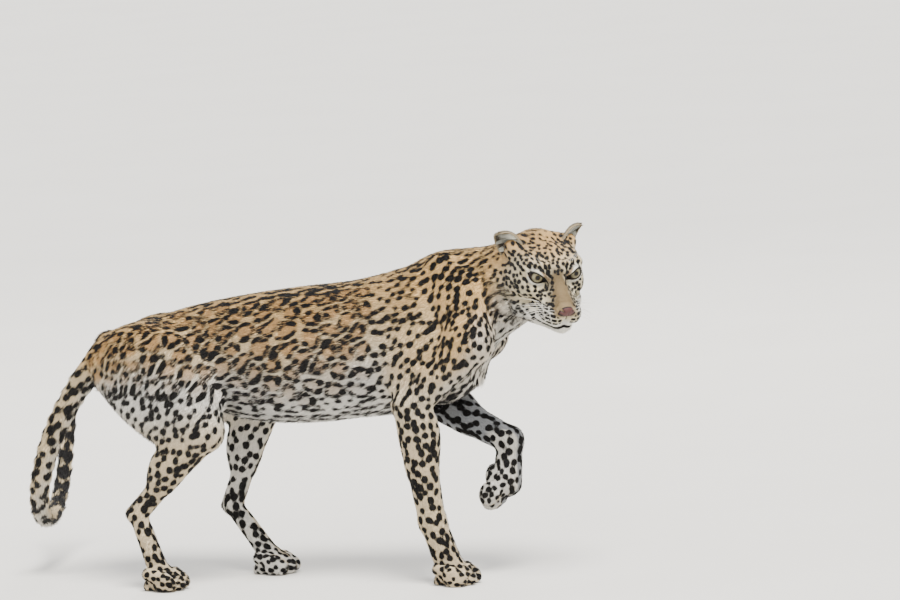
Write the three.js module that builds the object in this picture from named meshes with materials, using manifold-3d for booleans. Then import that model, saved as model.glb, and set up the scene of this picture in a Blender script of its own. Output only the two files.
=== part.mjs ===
// A life-size walking leopard, head turned to its right, left forepaw lifted.
// Millimetres, +X the way it walks, +Y its left side, +Z up, soles at Z = 0.
// The body is one smooth field: a trunk swept along the spine, with rods for bones and
// spindles for muscles melted into it. Every solid below is wrapped onto that field,
// then the animal is parted into its named pieces by thin cuts.
import * as THREE from "three";
import { mergeVertices } from "three/addons/utils/BufferGeometryUtils.js";
import Module from "manifold-3d";

const wasm = await Module();
wasm.setup();

// Driving dimensions
const WITHERS_HEIGHT = 560;
const GAP = 0.3; // left between pieces that touch
const EYE_RADIUS = 14.5;
const HEAD_YAW = -51; // degrees from the way it walks, towards its right
const HEAD_PITCH = -20; // nose down
const EYE_MIDPOINT = [390, -90, WITHERS_HEIGHT - 38];
const HEAD_START = -116; // plane between neck and head, behind the eyes
const EAR_HEIGHT = 46;
const EAR_WIDTH = 50;
const EAR_THICKNESS = 4;
const PAW_WIDTH = 74;
const HIND_PAW_WIDTH = 66;

// Bends of each leg's path, top to toe, and how far from the first two bends it is parted
const LEG_BLOCK = [170, 90, 180]; // what is cleared beyond each elbow or knee plane
const LEG_BLOCK_MIDDLE = 86;
const FORE_CUTS = {
  right: { radii: [70, 60, 45], cuts: [24, 22], rings: 9 },
  left: { radii: [42, 40, 60], cuts: [0, 34], rings: 12 },
};
const HIND_CUTS = {
  right: { radii: [92, 45, 42], cuts: [30, 30], rings: 9 },
  left: { radii: [92, 45, 42], cuts: [30, 30], rings: 9 },
};
const TAIL_ROOT_RADIUS = 27;
const TAIL_TIP_RADIUS = 15;

const V = (x, y, z) => new THREE.Vector3(x, y, z);
const vec = (p) => (p.isVector3 ? p.clone() : V(...p));
const UP = V(0, 0, 1);
const LATERAL = V(0, 1, 0);

// Trunk stations from rump to chest: x, back line, belly line, half-width
const TRUNK = [
  [-478, 396, 330, 40],
  [-440, 428, 322, 64],
  [-385, 457, 316, 80],
  [-300, 481, 306, 84],
  [-200, 498, 278, 96],
  [-100, 509, 272, 107],
  [0, 517, 279, 110],
  [100, 530, 288, 102],
  [160, 537, 302, 88],
  [210, 526, 332, 66],
];
const BODY_BOX = [[-560, -144, 180], [440, 144, 620]];
const BODY_CELL = 20;
const TRUNK_WAIST = 0.47; // height of the widest line, as a share of the trunk's depth

// Leg joints, by side. "toe" is the direction the toes point, "dorsal" the top of the paw.
const FORE = {
  right: {
    blade: [166, -38, 541], joint: [226, -82, 412], elbow: [116, -92, 312],
    wrist: [128, -58, 110], knuckle: [150, -52, 35], toe: [1, -0.06, 0], dorsal: [0, 0, 1],
  },
  left: {
    blade: [160, 38, 528], joint: [196, 76, 405], elbow: [70, 94, 304],
    wrist: [240, 46, 240], knuckle: [234, 41, 168], toe: [-0.24, -0.06, -0.97], dorsal: [0.97, 0, -0.24],
  },
};
const HIND = {
  right: {
    hip: [-388, -56, 416], knee: [-262, -90, 272], hock: [-396, -80, 130],
    knuckle: [-368, -78, 36], toe: [1, -0.05, 0], dorsal: [0, 0, 1],
  },
  left: {
    hip: [-382, 56, 418], knee: [-218, 88, 296], hock: [-284, 80, 118],
    knuckle: [-226, 78, 36], toe: [1, 0.05, 0], dorsal: [0, 0, 1],
  },
};
const TAIL = [
  [-455, 0, 408], [-520, 2, 345], [-580, 10, 258], [-622, 34, 170], [-644, 80, 112],
  [-656, 140, 92], [-666, 203, 105], [-674, 260, 150], [-678, 300, 212], [-674, 322, 278],
];

const TAIL_CUTS = [0.09, 0.36, 0.66, 1]; // shares of the tail's length

// Blocks that part the limbs and neck from the trunk: middle, lean, and length, width, breadth
const LIMB_BLOCKS = {
  right: {
    shoulder: { centre: [165, -118, 393], way: [0.35, 0, 0.94], size: [262, 124, 176] },
    thigh: { centre: [-352, -112, 350], way: [-0.35, 0, 0.94], size: [260, 124, 240] },
  },
  left: {
    shoulder: { centre: [150, 118, 391], way: [0.35, 0, 0.94], size: [262, 124, 236] },
    thigh: { centre: [-340, 112, 356], way: [-0.25, 0, 0.97], size: [260, 124, 280] },
  },
};
const NECK_BLOCK = { centre: [335, 0, 590], way: [0.8, 0, 0.6], size: [300, 400, 600] };

// Head frame: forward, left, up, from the point midway between the eyes
const headTurn = new THREE.Matrix4()
  .makeRotationZ(THREE.MathUtils.degToRad(HEAD_YAW))
  .multiply(new THREE.Matrix4().makeRotationY(THREE.MathUtils.degToRad(-HEAD_PITCH)));
const headFrame = headTurn.clone().setPosition(...EYE_MIDPOINT);
const onHead = (f, l, u) => V(f, l, u).applyMatrix4(headFrame);
const headWay = (f, l, u) => V(f, l, u).transformDirection(headFrame);

const lerp = THREE.MathUtils.lerp;
const clamp = THREE.MathUtils.clamp;

// A rod is a capsule with a radius at each end.
function rod(a, b, ra, rb, melt) {
  const p0 = vec(a);
  const axis = vec(b).sub(p0);
  const long = axis.lengthSq();
  return {
    melt,
    at(p) {
      const q = p.clone().sub(p0);
      const t = clamp(q.dot(axis) / long, 0, 1);
      return q.addScaledVector(axis, -t).length() - lerp(ra, rb, t);
    },
  };
}

// A spindle is an ellipsoid from end to end, with a half-width across and a half-depth.
function spindle(a, b, across, depth, melt, side = LATERAL) {
  const centre = vec(a).add(vec(b)).multiplyScalar(0.5);
  const axis = vec(b).sub(vec(a));
  const half = axis.length() / 2;
  axis.normalize();
  const lat = side.clone().addScaledVector(axis, -side.dot(axis)).normalize();
  const third = axis.clone().cross(lat);
  return {
    melt,
    at(p) {
      const q = p.clone().sub(centre);
      const n = V(q.dot(axis) / half, q.dot(lat) / across, q.dot(third) / depth);
      const k0 = n.length();
      const k1 = V(n.x / half, n.y / across, n.z / depth).length();
      return k1 > 1e-9 ? (k0 * (k0 - 1)) / k1 : -Math.min(half, across, depth);
    },
  };
}

// Value of a station table at x, on a smooth curve through the stations.
function stationAt(table, x) {
  const last = table.length - 1;
  const s = clamp(x, table[0][0], table[last][0]);
  let i = 0;
  while (i < last - 1 && table[i + 1][0] < s) i++;
  const [a, b] = [table[i], table[i + 1]];
  const before = table[Math.max(i - 1, 0)];
  const after = table[Math.min(i + 2, last)];
  const h = b[0] - a[0];
  const t = (s - a[0]) / h;
  return [1, 2, 3].map((c) => {
    const m0 = ((b[c] - before[c]) / (b[0] - before[0])) * h;
    const m1 = ((after[c] - a[c]) / (after[0] - a[0])) * h;
    return (
      (2 * t ** 3 - 3 * t ** 2 + 1) * a[c] + (t ** 3 - 2 * t ** 2 + t) * m0 +
      (3 * t ** 2 - 2 * t ** 3) * b[c] + (t ** 3 - t ** 2) * m1
    );
  });
}

const waistHeight = ([top, bottom]) => lerp(bottom, top, TRUNK_WAIST);

// The trunk: oval sections, fuller below than above, swept along the spine.
const trunk = {
  melt: 1,
  at(p) {
    const x = clamp(p.x, TRUNK[0][0], TRUNK[TRUNK.length - 1][0]);
    const section = stationAt(TRUNK, x);
    const z0 = waistHeight(section);
    const dz = p.z - z0;
    const reach = dz > 0 ? section[0] - z0 : z0 - section[1];
    const r = Math.hypot(p.y, dz);
    const share = Math.hypot(p.y / section[2], dz / reach);
    const radial = share > 1e-6 ? r * (1 - 1 / share) : -Math.min(section[2], reach);
    const beyond = Math.abs(p.x - x);
    return beyond > 0 ? Math.hypot(Math.max(radial, 0), beyond) : radial;
  },
};

const SIDES = [["right", -1], ["left", 1]];
const mix = (a, b, t) => vec(a).lerp(vec(b), t);
const shift = (a, x, y, z) => vec(a).add(V(x, y, z));

// Neck and chest, from the shoulders to the skull
const neckParts = [
  rod([176, 0, 488], onHead(-96, 0, -10), 54, 52, 40),
  rod([176, 0, 425], onHead(-88, 0, -40), 62, 55, 36),
  spindle([140, 0, 330], [205, 0, 445], 62, 46, 40),
  spindle([140, 0, 538], [262, -4, 545], 24, 20, 24),
];

// Shoulder blade, upper arm and the muscles over them
function shoulderParts(side, s) {
  const j = FORE[side];
  return [
    rod(j.blade, mix(j.blade, j.joint, 0.9), 21, 40, 26),
    spindle(shift(j.blade, 22, s * 6, -6), shift(j.joint, 8, s * 2, 6), 24, 40, 22),
    rod(j.joint, j.elbow, 41, 30, 26),
    spindle(shift(j.blade, -22, s * 22, -70), shift(j.elbow, -12, s * 4, 8), 26, 44, 26),
  ];
}

function forearmParts(side, s) {
  const j = FORE[side];
  return [
    rod(j.elbow, mix(j.elbow, j.wrist, 0.55), 30, 25, 8),
    rod(mix(j.elbow, j.wrist, 0.5), j.wrist, 25, 21, 8),
    spindle(shift(j.elbow, 14, s * 2, 16), mix(j.elbow, j.wrist, 0.62), 27, 32, 12),
    spindle(shift(j.elbow, -26, 0, 16), shift(j.elbow, 6, 0, -36), 18, 17, 10),
    rod(j.wrist, j.knuckle, 22, 23, 10),
  ];
}

function thighParts(side, s) {
  const j = HIND[side];
  return [
    rod(shift(j.hip, 0, 0, -22), j.knee, 56, 37, 34),
    spindle(shift(j.hip, 50, s * 14, 20), shift(j.knee, 10, 0, -12), 34, 60, 26),
    spindle(shift(j.hip, -82, s * 8, -6), shift(j.knee, -30, 0, -28), 34, 46, 26),
    spindle(shift(j.hip, -86, -s * 14, -16), shift(j.hip, 80, s * 2, 6), 50, 40, 30),
  ];
}

function shankParts(side) {
  const j = HIND[side];
  const heel = shift(j.hock, -13, 0, 4);
  return [
    rod(j.knee, mix(j.knee, j.hock, 0.6), 35, 21, 10),
    rod(mix(j.knee, j.hock, 0.5), j.hock, 21, 17, 10),
    spindle(shift(j.knee, -22, 0, 14), mix(j.knee, heel, 0.72), 25, 32, 14),
    rod(mix(j.knee, heel, 0.6), heel, 11, 11, 12),
    rod(j.hock, j.knuckle, 18, 19, 8),
  ];
}

// Four toes round a pad, as a hand's breadth of spindles along the toe direction
function pawParts(j, width) {
  const toe = vec(j.toe).normalize();
  const up = vec(j.dorsal);
  const lat = up.clone().cross(toe).normalize();
  const dorsal = toe.clone().cross(lat).normalize();
  const spot = (f, l, u) =>
    vec(j.knuckle).addScaledVector(toe, f).addScaledVector(lat, l).addScaledVector(dorsal, u);
  const w = width / 74;
  const parts = [
    spindle(spot(-24, 0, -14), spot(34, 0, -16), 31 * w, 24, 12, lat),
    spindle(spot(-30, 0, -27), spot(8, 0, -31), 22 * w, 13, 6, lat),
  ];
  for (const [f, l] of [[2, -28], [12, -10.5], [12, 10.5], [2, 28]]) {
    parts.push(spindle(spot(f - 4, l * w, -18), spot(f + 42, l * w * 1.04, -24), 12.2 * w, 19, 4, lat));
    parts.push(rod(spot(f - 14, l * w * 0.7, -6), spot(f + 16, l * w, -10), 12, 11.5, 6));
  }
  return parts;
}

// The head, in its own frame
function headParts() {
  const parts = [
    spindle(onHead(-128, 0, 2), onHead(-14, 0, 0), 51, 42, 1, headWay(0, 1, 0)), // braincase
    spindle(onHead(-70, 0, 10), onHead(4, 0, 1), 37, 27, 16, headWay(0, 1, 0)), // forehead
    rod(onHead(-8, 0, -4), onHead(44, 0, -40), 19, 14, 12), // bridge of the nose
    spindle(onHead(-52, 0, -36), onHead(46, 0, -46), 37, 27, 14, headWay(0, 1, 0)), // upper jaw
    rod(onHead(35, 0, -76), onHead(-10, 0, -68), 12, 17, 8), // chin
    spindle(onHead(-112, 0, -62), onHead(-6, 0, -64), 38, 27, 16, headWay(0, 1, 0)), // throat
  ];
  for (const [, s] of SIDES) {
    const lat = headWay(0, 1, 0);
    parts.push(
      rod(onHead(-10, s * 17, 17), onHead(-26, s * 44, 10), 7, 9, 10), // brow
      spindle(onHead(-78, s * 48, -24), onHead(2, s * 36, -24), 20, 24, 14, lat), // cheekbone
      spindle(onHead(-112, s * 42, -32), onHead(-30, s * 40, -40), 28, 38, 16, lat), // cheek
      rod(onHead(32, s * 10, -74), onHead(-40, s * 38, -66), 10, 24, 8), // lower jaw
      spindle(onHead(-6, s * 24, -49), onHead(58, s * 12, -50), 19, 17, 7, lat), // whisker pad
      spindle(onHead(-17, s * 30, 0), onHead(5, s * 34, 0), 18, 15, 5, lat), // lids
      spindle(onHead(-92, s * 40, 4), onHead(-18, s * 38, 4), 18, 24, 16, lat), // temple
      rod(onHead(-92, s * 38, 14), onHead(-84, s * 48, 20), 20, 17, 14), // root of the ear
    );
  }
  parts.push(spindle(onHead(42, 0, -36), onHead(61, 0, -37), 12.5, 9, 4, headWay(0, 1, 0))); // nose
  return parts;
}

const tailCurve = new THREE.CatmullRomCurve3(TAIL.map(vec), false, "centripetal");
const tailRadius = (t) => lerp(TAIL_ROOT_RADIUS, TAIL_TIP_RADIUS, Math.pow(t, 0.7));
const tailRoot = [rod(tailCurve.getPointAt(0), tailCurve.getPointAt(TAIL_CUTS[0] + 0.02), 34, tailRadius(TAIL_CUTS[0]), 22)];

const bothSides = (make) => SIDES.flatMap(([side, s]) => make(side, s));
const bodyField = [
  trunk, ...neckParts, ...bothSides(shoulderParts), ...bothSides(thighParts), ...tailRoot, ...headParts(),
  ...bothSides(forearmParts), ...bothSides(shankParts),
];
const headField = [...neckParts, ...headParts()];

// Smooth union of parts, in order, each melting into what came before it
function measure(parts, p) {
  let d = Infinity;
  for (const part of parts) {
    const e = part.at(p);
    const h = Math.max(part.melt - Math.abs(d - e), 0);
    d = Math.min(d, e) - (d === Infinity ? 0 : (h * h) / (4 * part.melt));
  }
  return d;
}

// Distance from a point inside, along a ray, to the field's surface
function surfaceAlong(parts, from, way, reach, grow) {
  const p = V(0, 0, 0);
  const value = (t) => measure(parts, p.copy(from).addScaledVector(way, t)) - grow;
  let near = 0;
  let far = 0;
  let d = value(0);
  while (d < 0 && far < reach) {
    near = far;
    far = Math.min(reach, far + Math.max(1, -d * 0.7));
    d = value(far);
  }
  if (d < 0) return reach;
  for (let i = 0; i < 12; i++) {
    const mid = (near + far) / 2;
    if (value(mid) < 0) near = mid;
    else far = mid;
  }
  return (near + far) / 2;
}

// A closed mesh from rows of points: row after row round an axis, poles at both ends
function closedFrom(rows, startPole, endPole) {
  const around = rows[0].length;
  const points = [...rows.flat(), startPole, endPole];
  const start = points.length - 2;
  const faces = [];
  for (let j = 0; j < around; j++) {
    const k = (j + 1) % around;
    faces.push(start, k, j);
    for (let i = 0; i < rows.length - 1; i++) {
      const [a, b, c, d] = [i * around + j, i * around + k, (i + 1) * around + k, (i + 1) * around + j];
      faces.push(a, b, c, a, c, d);
    }
    faces.push(start + 1, (rows.length - 1) * around + j, (rows.length - 1) * around + k);
  }
  return meshOf(points, faces);
}

const meshOf = (points, faces) =>
  new THREE.BufferGeometry()
    .setAttribute("position", new THREE.Float32BufferAttribute(points.flatMap((q) => q.toArray()), 3))
    .setIndex(faces);

// Wraps a sleeve onto a field. Each station is {centre, across, over}; a domed end sweeps
// the rays round to the sleeve's own axis, and a flat end stops at its station's plane.
function wrap(parts, stations, { around, domeEnd = 0, reach: most, grow = 0 }) {
  const reach = most + grow;
  const rows = [];
  const ring = (s, tilt, axis) => {
    const row = [];
    for (let j = 0; j < around; j++) {
      const a = (2 * Math.PI * j) / around;
      const way = s.across.clone().multiplyScalar(Math.cos(a)).addScaledVector(s.over, Math.sin(a));
      way.multiplyScalar(Math.cos(tilt)).addScaledVector(axis, Math.sin(tilt)).normalize();
      row.push(s.centre.clone().addScaledVector(way, surfaceAlong(parts, s.centre, way, reach, grow)));
    }
    return row;
  };
  const last = stations[stations.length - 1];
  const axisOf = (s) => s.across.clone().cross(s.over).normalize();
  const endAxis = axisOf(last);
  for (const s of stations) rows.push(ring(s, 0, axisOf(s)));
  for (let i = 1; i <= domeEnd; i++) rows.push(ring(last, (Math.PI / 2) * (i / (domeEnd + 1)), endAxis));
  const far = domeEnd ? surfaceAlong(parts, last.centre, endAxis, reach, grow) : 0;
  return solid(closedFrom(rows, stations[0].centre, last.centre.clone().addScaledVector(endAxis, far)));
}

// Wraps a closed mesh onto a field inside a box: a point in every cell the surface crosses,
// drawn onto the surface, and a four-sided face round every grid line it crosses.
function netted(parts, low, high, cell) {
  const counts = [0, 1, 2].map((i) => Math.ceil((high[i] - low[i]) / cell) + 1);
  const strides = [1, counts[0], counts[0] * counts[1]];
  const spot = (i, j, k) => V(low[0] + i * cell, low[1] + j * cell, low[2] + k * cell);
  const inner = (i, a) => i > 0 && i < counts[a] - 1;
  const grid = new Float64Array(counts[0] * counts[1] * counts[2]);
  const eachCell = (visit) => {
    for (let k = 0; k < counts[2]; k++)
      for (let j = 0; j < counts[1]; j++) for (let i = 0; i < counts[0]; i++) visit([i, j, k]);
  };
  const indexOf = (at) => at[0] + at[1] * strides[1] + at[2] * strides[2];
  eachCell((at) => {
    grid[indexOf(at)] = at.every(inner) ? measure(parts, spot(...at)) : cell;
  });
  const corners = Array.from({ length: 8 }, (_, c) => [c & 1, (c >> 1) & 1, c >> 2]);
  const points = [];
  const pointOf = new Map();
  eachCell((at) => {
    if (at.some((i, a) => i === counts[a] - 1)) return;
    const crossings = [];
    for (const c of corners)
      for (let a = 0; a < 3; a++) {
        if (c[a]) continue;
        const from = at.map((i, b) => i + c[b]);
        const [g0, g1] = [grid[indexOf(from)], grid[indexOf(from) + strides[a]]];
        if (g0 < 0 === g1 < 0) continue;
        const along = spot(...from);
        along.setComponent(a, along.getComponent(a) + (cell * g0) / (g0 - g1));
        crossings.push(along);
      }
    if (!crossings.length) return;
    const p = crossings.reduce((a, b) => a.add(b)).divideScalar(crossings.length);
    if (at.every((i, a) => inner(i, a) && inner(i + 1, a))) drawOnto(parts, p);
    pointOf.set(indexOf(at), points.length);
    points.push(p);
  });
  const faces = [];
  eachCell((at) => {
    for (let a = 0; a < 3; a++) {
      const [b, c] = [(a + 1) % 3, (a + 2) % 3];
      if (at[a] === counts[a] - 1 || at[b] === 0 || at[c] === 0) continue;
      const here = indexOf(at);
      const [g0, g1] = [grid[here], grid[here + strides[a]]];
      if (g0 < 0 === g1 < 0) continue;
      const round = [0, strides[b], strides[b] + strides[c], strides[c]].map((o) => pointOf.get(here - o));
      const [p, q, r, t] = g0 < 0 ? round : round.reverse();
      faces.push(p, q, r, p, r, t);
    }
  });
  return solid(meshOf(points, faces));
}

// Moves a point onto the surface, down the field's slope
function drawOnto(parts, p) {
  const step = 0.5;
  for (let i = 0; i < 3; i++) {
    const d = measure(parts, p);
    const slope = V(...[V(step, 0, 0), V(0, step, 0), V(0, 0, step)].map((e) => measure(parts, e.add(p)) - d));
    slope.divideScalar(step);
    p.addScaledVector(slope, -clamp(d, -6, 6) / Math.max(slope.lengthSq(), 0.25));
  }
}

// A path of straight runs and round bends, from its corners and the radius of each bend
function roundedPath(corners, radii) {
  const runs = [];
  const bends = [];
  let from = vec(corners[0]);
  let length = 0;
  for (let i = 1; i < corners.length; i++) {
    const corner = vec(corners[i]);
    const way = corner.clone().sub(vec(corners[i - 1])).normalize();
    const next = i + 1 < corners.length ? vec(corners[i + 1]).sub(corner).normalize() : way;
    const turn = way.angleTo(next);
    const radius = radii[i - 1] ?? 0;
    const spent = radius * Math.tan(turn / 2);
    const start = corner.clone().addScaledVector(way, -spent);
    runs.push({ start: from, way, axis: UP, radius: Infinity, from: length });
    length += start.distanceTo(from);
    runs.push({ start, way, axis: way.clone().cross(next).normalize(), radius, from: length });
    bends.push(length + (radius * turn) / 2);
    length += radius * turn;
    from = corner.clone().addScaledVector(next, spent);
  }
  const at = (s) => {
    const run = runs.filter((r) => r.from <= Math.max(s, 0)).pop();
    const gone = s - run.from;
    if (!(run.radius > 0) || run.radius === Infinity) {
      return { centre: run.start.clone().addScaledVector(run.way, gone), way: run.way.clone() };
    }
    const way = run.way.clone().applyAxisAngle(run.axis, gone / run.radius);
    const centre = run.start.clone()
      .addScaledVector(run.axis.clone().cross(run.way), run.radius)
      .addScaledVector(run.axis.clone().cross(way), -run.radius);
    return { centre, way };
  };
  return { at, bends, length };
}

// A station's plane holds the lateral direction, so planes of a leg turn about lateral lines.
const station = (centre, axis) => ({ centre, across: LATERAL.clone(), over: axis.clone().cross(LATERAL).normalize() });

// Stations along a stretch of a path, given in mm from its start
function along(path, from, to, count) {
  return Array.from({ length: count }, (_, i) => {
    const { centre, way } = path.at(lerp(from, to, i / (count - 1)));
    return station(centre, way);
  });
}

// Geometry to solid, its faces turned outwards
function solid(geometry) {
  const bare = geometry.clone();
  bare.deleteAttribute("normal");
  bare.deleteAttribute("uv");
  const merged = mergeVertices(bare, 1e-3);
  const triVerts = new Uint32Array(merged.index.array);
  const vertProperties = merged.attributes.position.array;
  const make = () => new wasm.Manifold(new wasm.Mesh({ numProp: 3, vertProperties, triVerts }));
  const made = make();
  if (made.volume() > 0) return made;
  for (let i = 0; i < triVerts.length; i += 3) {
    [triVerts[i + 1], triVerts[i + 2]] = [triVerts[i + 2], triVerts[i + 1]];
  }
  return make();
}

const joined = (solids) => solids.reduce((a, b) => a.add(b));
const largest = (made) => made.decompose().sort((a, b) => b.volume() - a.volume())[0];

// A box with its middle at a point, long side along "way", thickness side nearest "side"
function block(centre, way, side, size, grow) {
  const x = vec(way).normalize();
  const y = vec(side).addScaledVector(x, -vec(side).dot(x)).normalize();
  const frame = new THREE.Matrix4().makeBasis(x, y, x.clone().cross(y)).setPosition(vec(centre));
  const [a, b, c] = size.map((v) => v + 2 * grow);
  return solid(new THREE.BoxGeometry(a, b, c).applyMatrix4(frame));
}

// Head: rings along the skull, closer over the face and domed over the muzzle
function headShape(grow = 0) {
  const across = headWay(0, 1, 0);
  const over = headWay(0, 0, 1);
  const stations = [];
  const count = 19;
  for (let i = 0; i < count; i++) {
    const f = lerp(HEAD_START + GAP / 2, 6, Math.pow(i / (count - 1), 0.85));
    stations.push({ centre: onHead(f, 0, lerp(-18, -36, clamp((f + 60) / 66, 0, 1))), across, over });
  }
  return wrap(headField, stations, { around: 44, domeEnd: 12, reach: 78, grow });
}

// An almond opening between the lids, swept out along the eye's gaze
function lidOpening(s) {
  const shape = new THREE.Shape();
  shape.moveTo(-13, 3);
  shape.bezierCurveTo(-8, 9.5, 6, 9, 17, -9.5);
  shape.bezierCurveTo(8, -11, -8, -12, -13, 3);
  const g = new THREE.ExtrudeGeometry(shape, { depth: 26, bevelEnabled: false, curveSegments: 10 });
  const gaze = headWay(1, s * 0.3, 0.04);
  const inward = headWay(0.3 * s, -1, 0).multiplyScalar(s);
  const over = gaze.clone().cross(inward).multiplyScalar(s).normalize();
  return g.applyMatrix4(new THREE.Matrix4().makeBasis(inward, over, gaze).setPosition(eyeCentre(s)));
}

const eyeCentre = (s) => onHead(-14, s * 32, 0);

function eyeBall(s, grow) {
  const ball = new THREE.SphereGeometry(EYE_RADIUS + grow, 16, 10);
  return ball.translate(...eyeCentre(s).toArray());
}

// The slit of the mouth, from under the nose to each corner, as a thin curved blade
function mouthSlit() {
  const run = [
    [-20, 44, -47], [-4, 41, -51], [12, 36, -57], [28, 29, -63], [42, 17, -66], [50, 6, -63], [51, 0, -60],
  ];
  const path = [...run, ...run.slice(0, -1).reverse().map(([f, l, u]) => [f, -l, u])];
  const curve = new THREE.CatmullRomCurve3(path.map((p) => V(...p)));
  const centre = V(-10, 0, -52);
  const steps = 26;
  const rows = curve.getPoints(steps).map((p, i) => {
    const out = p.clone().sub(centre).setZ(0).normalize();
    const t = i / steps;
    const half = 1.1 * Math.sin(Math.PI * clamp(t, 0.02, 0.98)) ** 0.3;
    const inner = p.clone().addScaledVector(out, -7);
    const outer = p.clone().addScaledVector(out, 10);
    return [
      inner.clone().add(V(0, 0, half * 0.4)), outer.clone().add(V(0, 0, half)),
      outer.clone().add(V(0, 0, -half)), inner.clone().add(V(0, 0, -half * 0.4)),
    ].map((q) => onHead(q.x, q.y, q.z));
  });
  const middle = (row) => row.reduce((a, b) => a.clone().add(b), V(0, 0, 0)).multiplyScalar(0.25);
  return closedFrom(rows, middle(rows[0]), middle(rows[rows.length - 1]));
}

function nostril(s) {
  const g = new THREE.SphereGeometry(1, 10, 6).scale(7, 3.6, 2.8);
  const frame = new THREE.Matrix4().makeRotationZ(s * 0.5).setPosition(60, s * 7.5, -38);
  return g.applyMatrix4(frame).applyMatrix4(headFrame);
}

// An ear: a rounded cup of even thickness, its rim open forwards and outwards
function earShape(s) {
  const rowsUp = 7;
  const cells = 10;
  const root = V(-84, s * 47, 10);
  const rise = V(-0.16, s * 0.42, 0.9).normalize();
  const face = V(0.72, s * 0.66, -0.1).normalize();
  const wide = rise.clone().cross(face).normalize();
  const open = wide.clone().cross(rise).normalize();
  const sheet = (inset) =>
    Array.from({ length: rowsUp + 1 }, (_, i) => {
      const t = i / rowsUp;
      const half = (EAR_WIDTH / 2) * (0.62 + 0.38 * Math.sin(Math.PI * Math.min(t * 1.15, 0.5))) *
        Math.sqrt(Math.max(1 - ((t - 0.35) / 0.66) ** 4, 0.02)) - inset * 0.25;
      return Array.from({ length: cells + 1 }, (_, j) => {
        const v = (2 * j) / cells - 1;
        const bend = v * (1.25 - 0.25 * t);
        const depth = half * 0.95 * (1 - t * 0.35);
        return root.clone()
          .addScaledVector(rise, -10 + (EAR_HEIGHT + 10 - inset * 0.4) * t)
          .addScaledVector(wide, half * Math.sin(bend) * 1.05)
          .addScaledVector(open, -depth * Math.cos(bend) * 0.95 + inset + 6);
      });
    });
  const [outer, inner] = [sheet(0), sheet(EAR_THICKNESS)];
  const rows = outer.map((row, i) => [...row, ...inner[i].slice().reverse()].map((q) => onHead(q.x, q.y, q.z)));
  return rows;
}

// A strip-capped closed solid for rows that fold back on themselves, as an ear's do
function foldedSolid(rows) {
  const n = rows[0].length;
  const faces = [];
  for (let i = 0; i < rows.length - 1; i++)
    for (let j = 0; j < n; j++) {
      const k = (j + 1) % n;
      faces.push(i * n + j, i * n + k, (i + 1) * n + k, i * n + j, (i + 1) * n + k, (i + 1) * n + j);
    }
  for (let j = 0; j < n / 2 - 1; j++) {
    const [a, b, c, d] = [j, j + 1, n - 2 - j, n - 1 - j];
    faces.push(a, c, b, a, d, c);
    const m = (rows.length - 1) * n;
    faces.push(m + a, m + b, m + c, m + a, m + c, m + d);
  }
  return solid(meshOf(rows.flat(), faces));
}

// Leg pieces share one path through the joints, so their end planes face each other
function legPath(j, top, middle, low, radii) {
  const toe = vec(j.toe).normalize();
  const lat = vec(j.dorsal).cross(toe).normalize();
  const pad = vec(j.knuckle).addScaledVector(toe.clone().cross(lat).normalize(), -16);
  const heel = pad.clone().addScaledVector(toe, -6);
  return roundedPath([top, middle, low, heel, pad.clone().addScaledVector(toe, 38)], radii);
}

// Tail: round sections along its curve, in three lengths
function tailShape(from, to, gapStart, gapEnd) {
  const steps = Math.round((to - from) * 34);
  const length = tailCurve.getLength();
  const [a, b] = [from + gapStart / length, to - gapEnd / length];
  const rows = Array.from({ length: steps + 1 }, (_, i) => {
    const t = lerp(a, b, i / steps);
    const centre = tailCurve.getPointAt(t);
    const way = tailCurve.getTangentAt(t);
    const over = way.clone().cross(LATERAL).normalize();
    const across = over.clone().cross(way).normalize();
    const tip = Math.sqrt(clamp((1 - t) / 0.03, 0, 1));
    const r = tailRadius(t) * (0.35 + 0.65 * tip);
    return Array.from({ length: 14 }, (_, j) => {
      const s = (2 * Math.PI * j) / 14;
      return centre.clone().addScaledVector(across, r * Math.cos(s)).addScaledVector(over, r * Math.sin(s));
    });
  });
  return solid(closedFrom(rows, tailCurve.getPointAt(a), tailCurve.getPointAt(b)));
}

const floor = solid(new THREE.BoxGeometry(2400, 1200, 100).translate(0, 0, -50));

const material = (color, roughness = 0.8) => new THREE.MeshStandardMaterial({ color, roughness, metalness: 0 });
const COAT = material(0xc99a5f);
const PALE = material(0xd8cdb8);
const EYE = material(0xa79255, 0.1);
const NOSE = material(0x9c5f55, 0.5);

const leopard = new THREE.Group();
function add(name, made, finish = COAT) {
  const m = largest(made).getMesh();
  const positions = new Float32Array(m.numVert * 3);
  for (let i = 0; i < m.numVert; i++) {
    positions.set(m.vertProperties.subarray(i * m.numProp, i * m.numProp + 3), i * 3);
  }
  const g = new THREE.BufferGeometry()
    .setAttribute("position", new THREE.BufferAttribute(positions, 3))
    .setIndex(new THREE.BufferAttribute(m.triVerts, 1));
  const mesh = new THREE.Mesh(g, finish);
  mesh.name = name;
  leopard.add(mesh);
}

// Parts the body with a block: what is inside becomes a piece, the rest stays
let rest = netted(bodyField, ...BODY_BOX, BODY_CELL);
function take(name, centre, way, side, size) {
  add(name, rest.intersect(block(centre, way, side, size, -GAP / 2)));
  rest = rest.subtract(block(centre, way, side, size, GAP / 2));
}

// Head
const sockets = SIDES.map(([, s]) => solid(eyeBall(s, GAP)));
const openings = SIDES.map(([, s]) => solid(lidOpening(s)));
const nostrils = SIDES.map(([, s]) => solid(nostril(s)));
const head = headShape().subtract(joined([...sockets, ...openings, solid(mouthSlit()), ...nostrils]));
const noseBlock = (grow) => block(onHead(62, 0, -36), headWay(1, 0, -0.25), headWay(0, 1, 0), [22, 27, 21], grow);
add("nose", head.intersect(noseBlock(-GAP / 2)), NOSE);
add("head", head.subtract(noseBlock(GAP / 2)));

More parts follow.
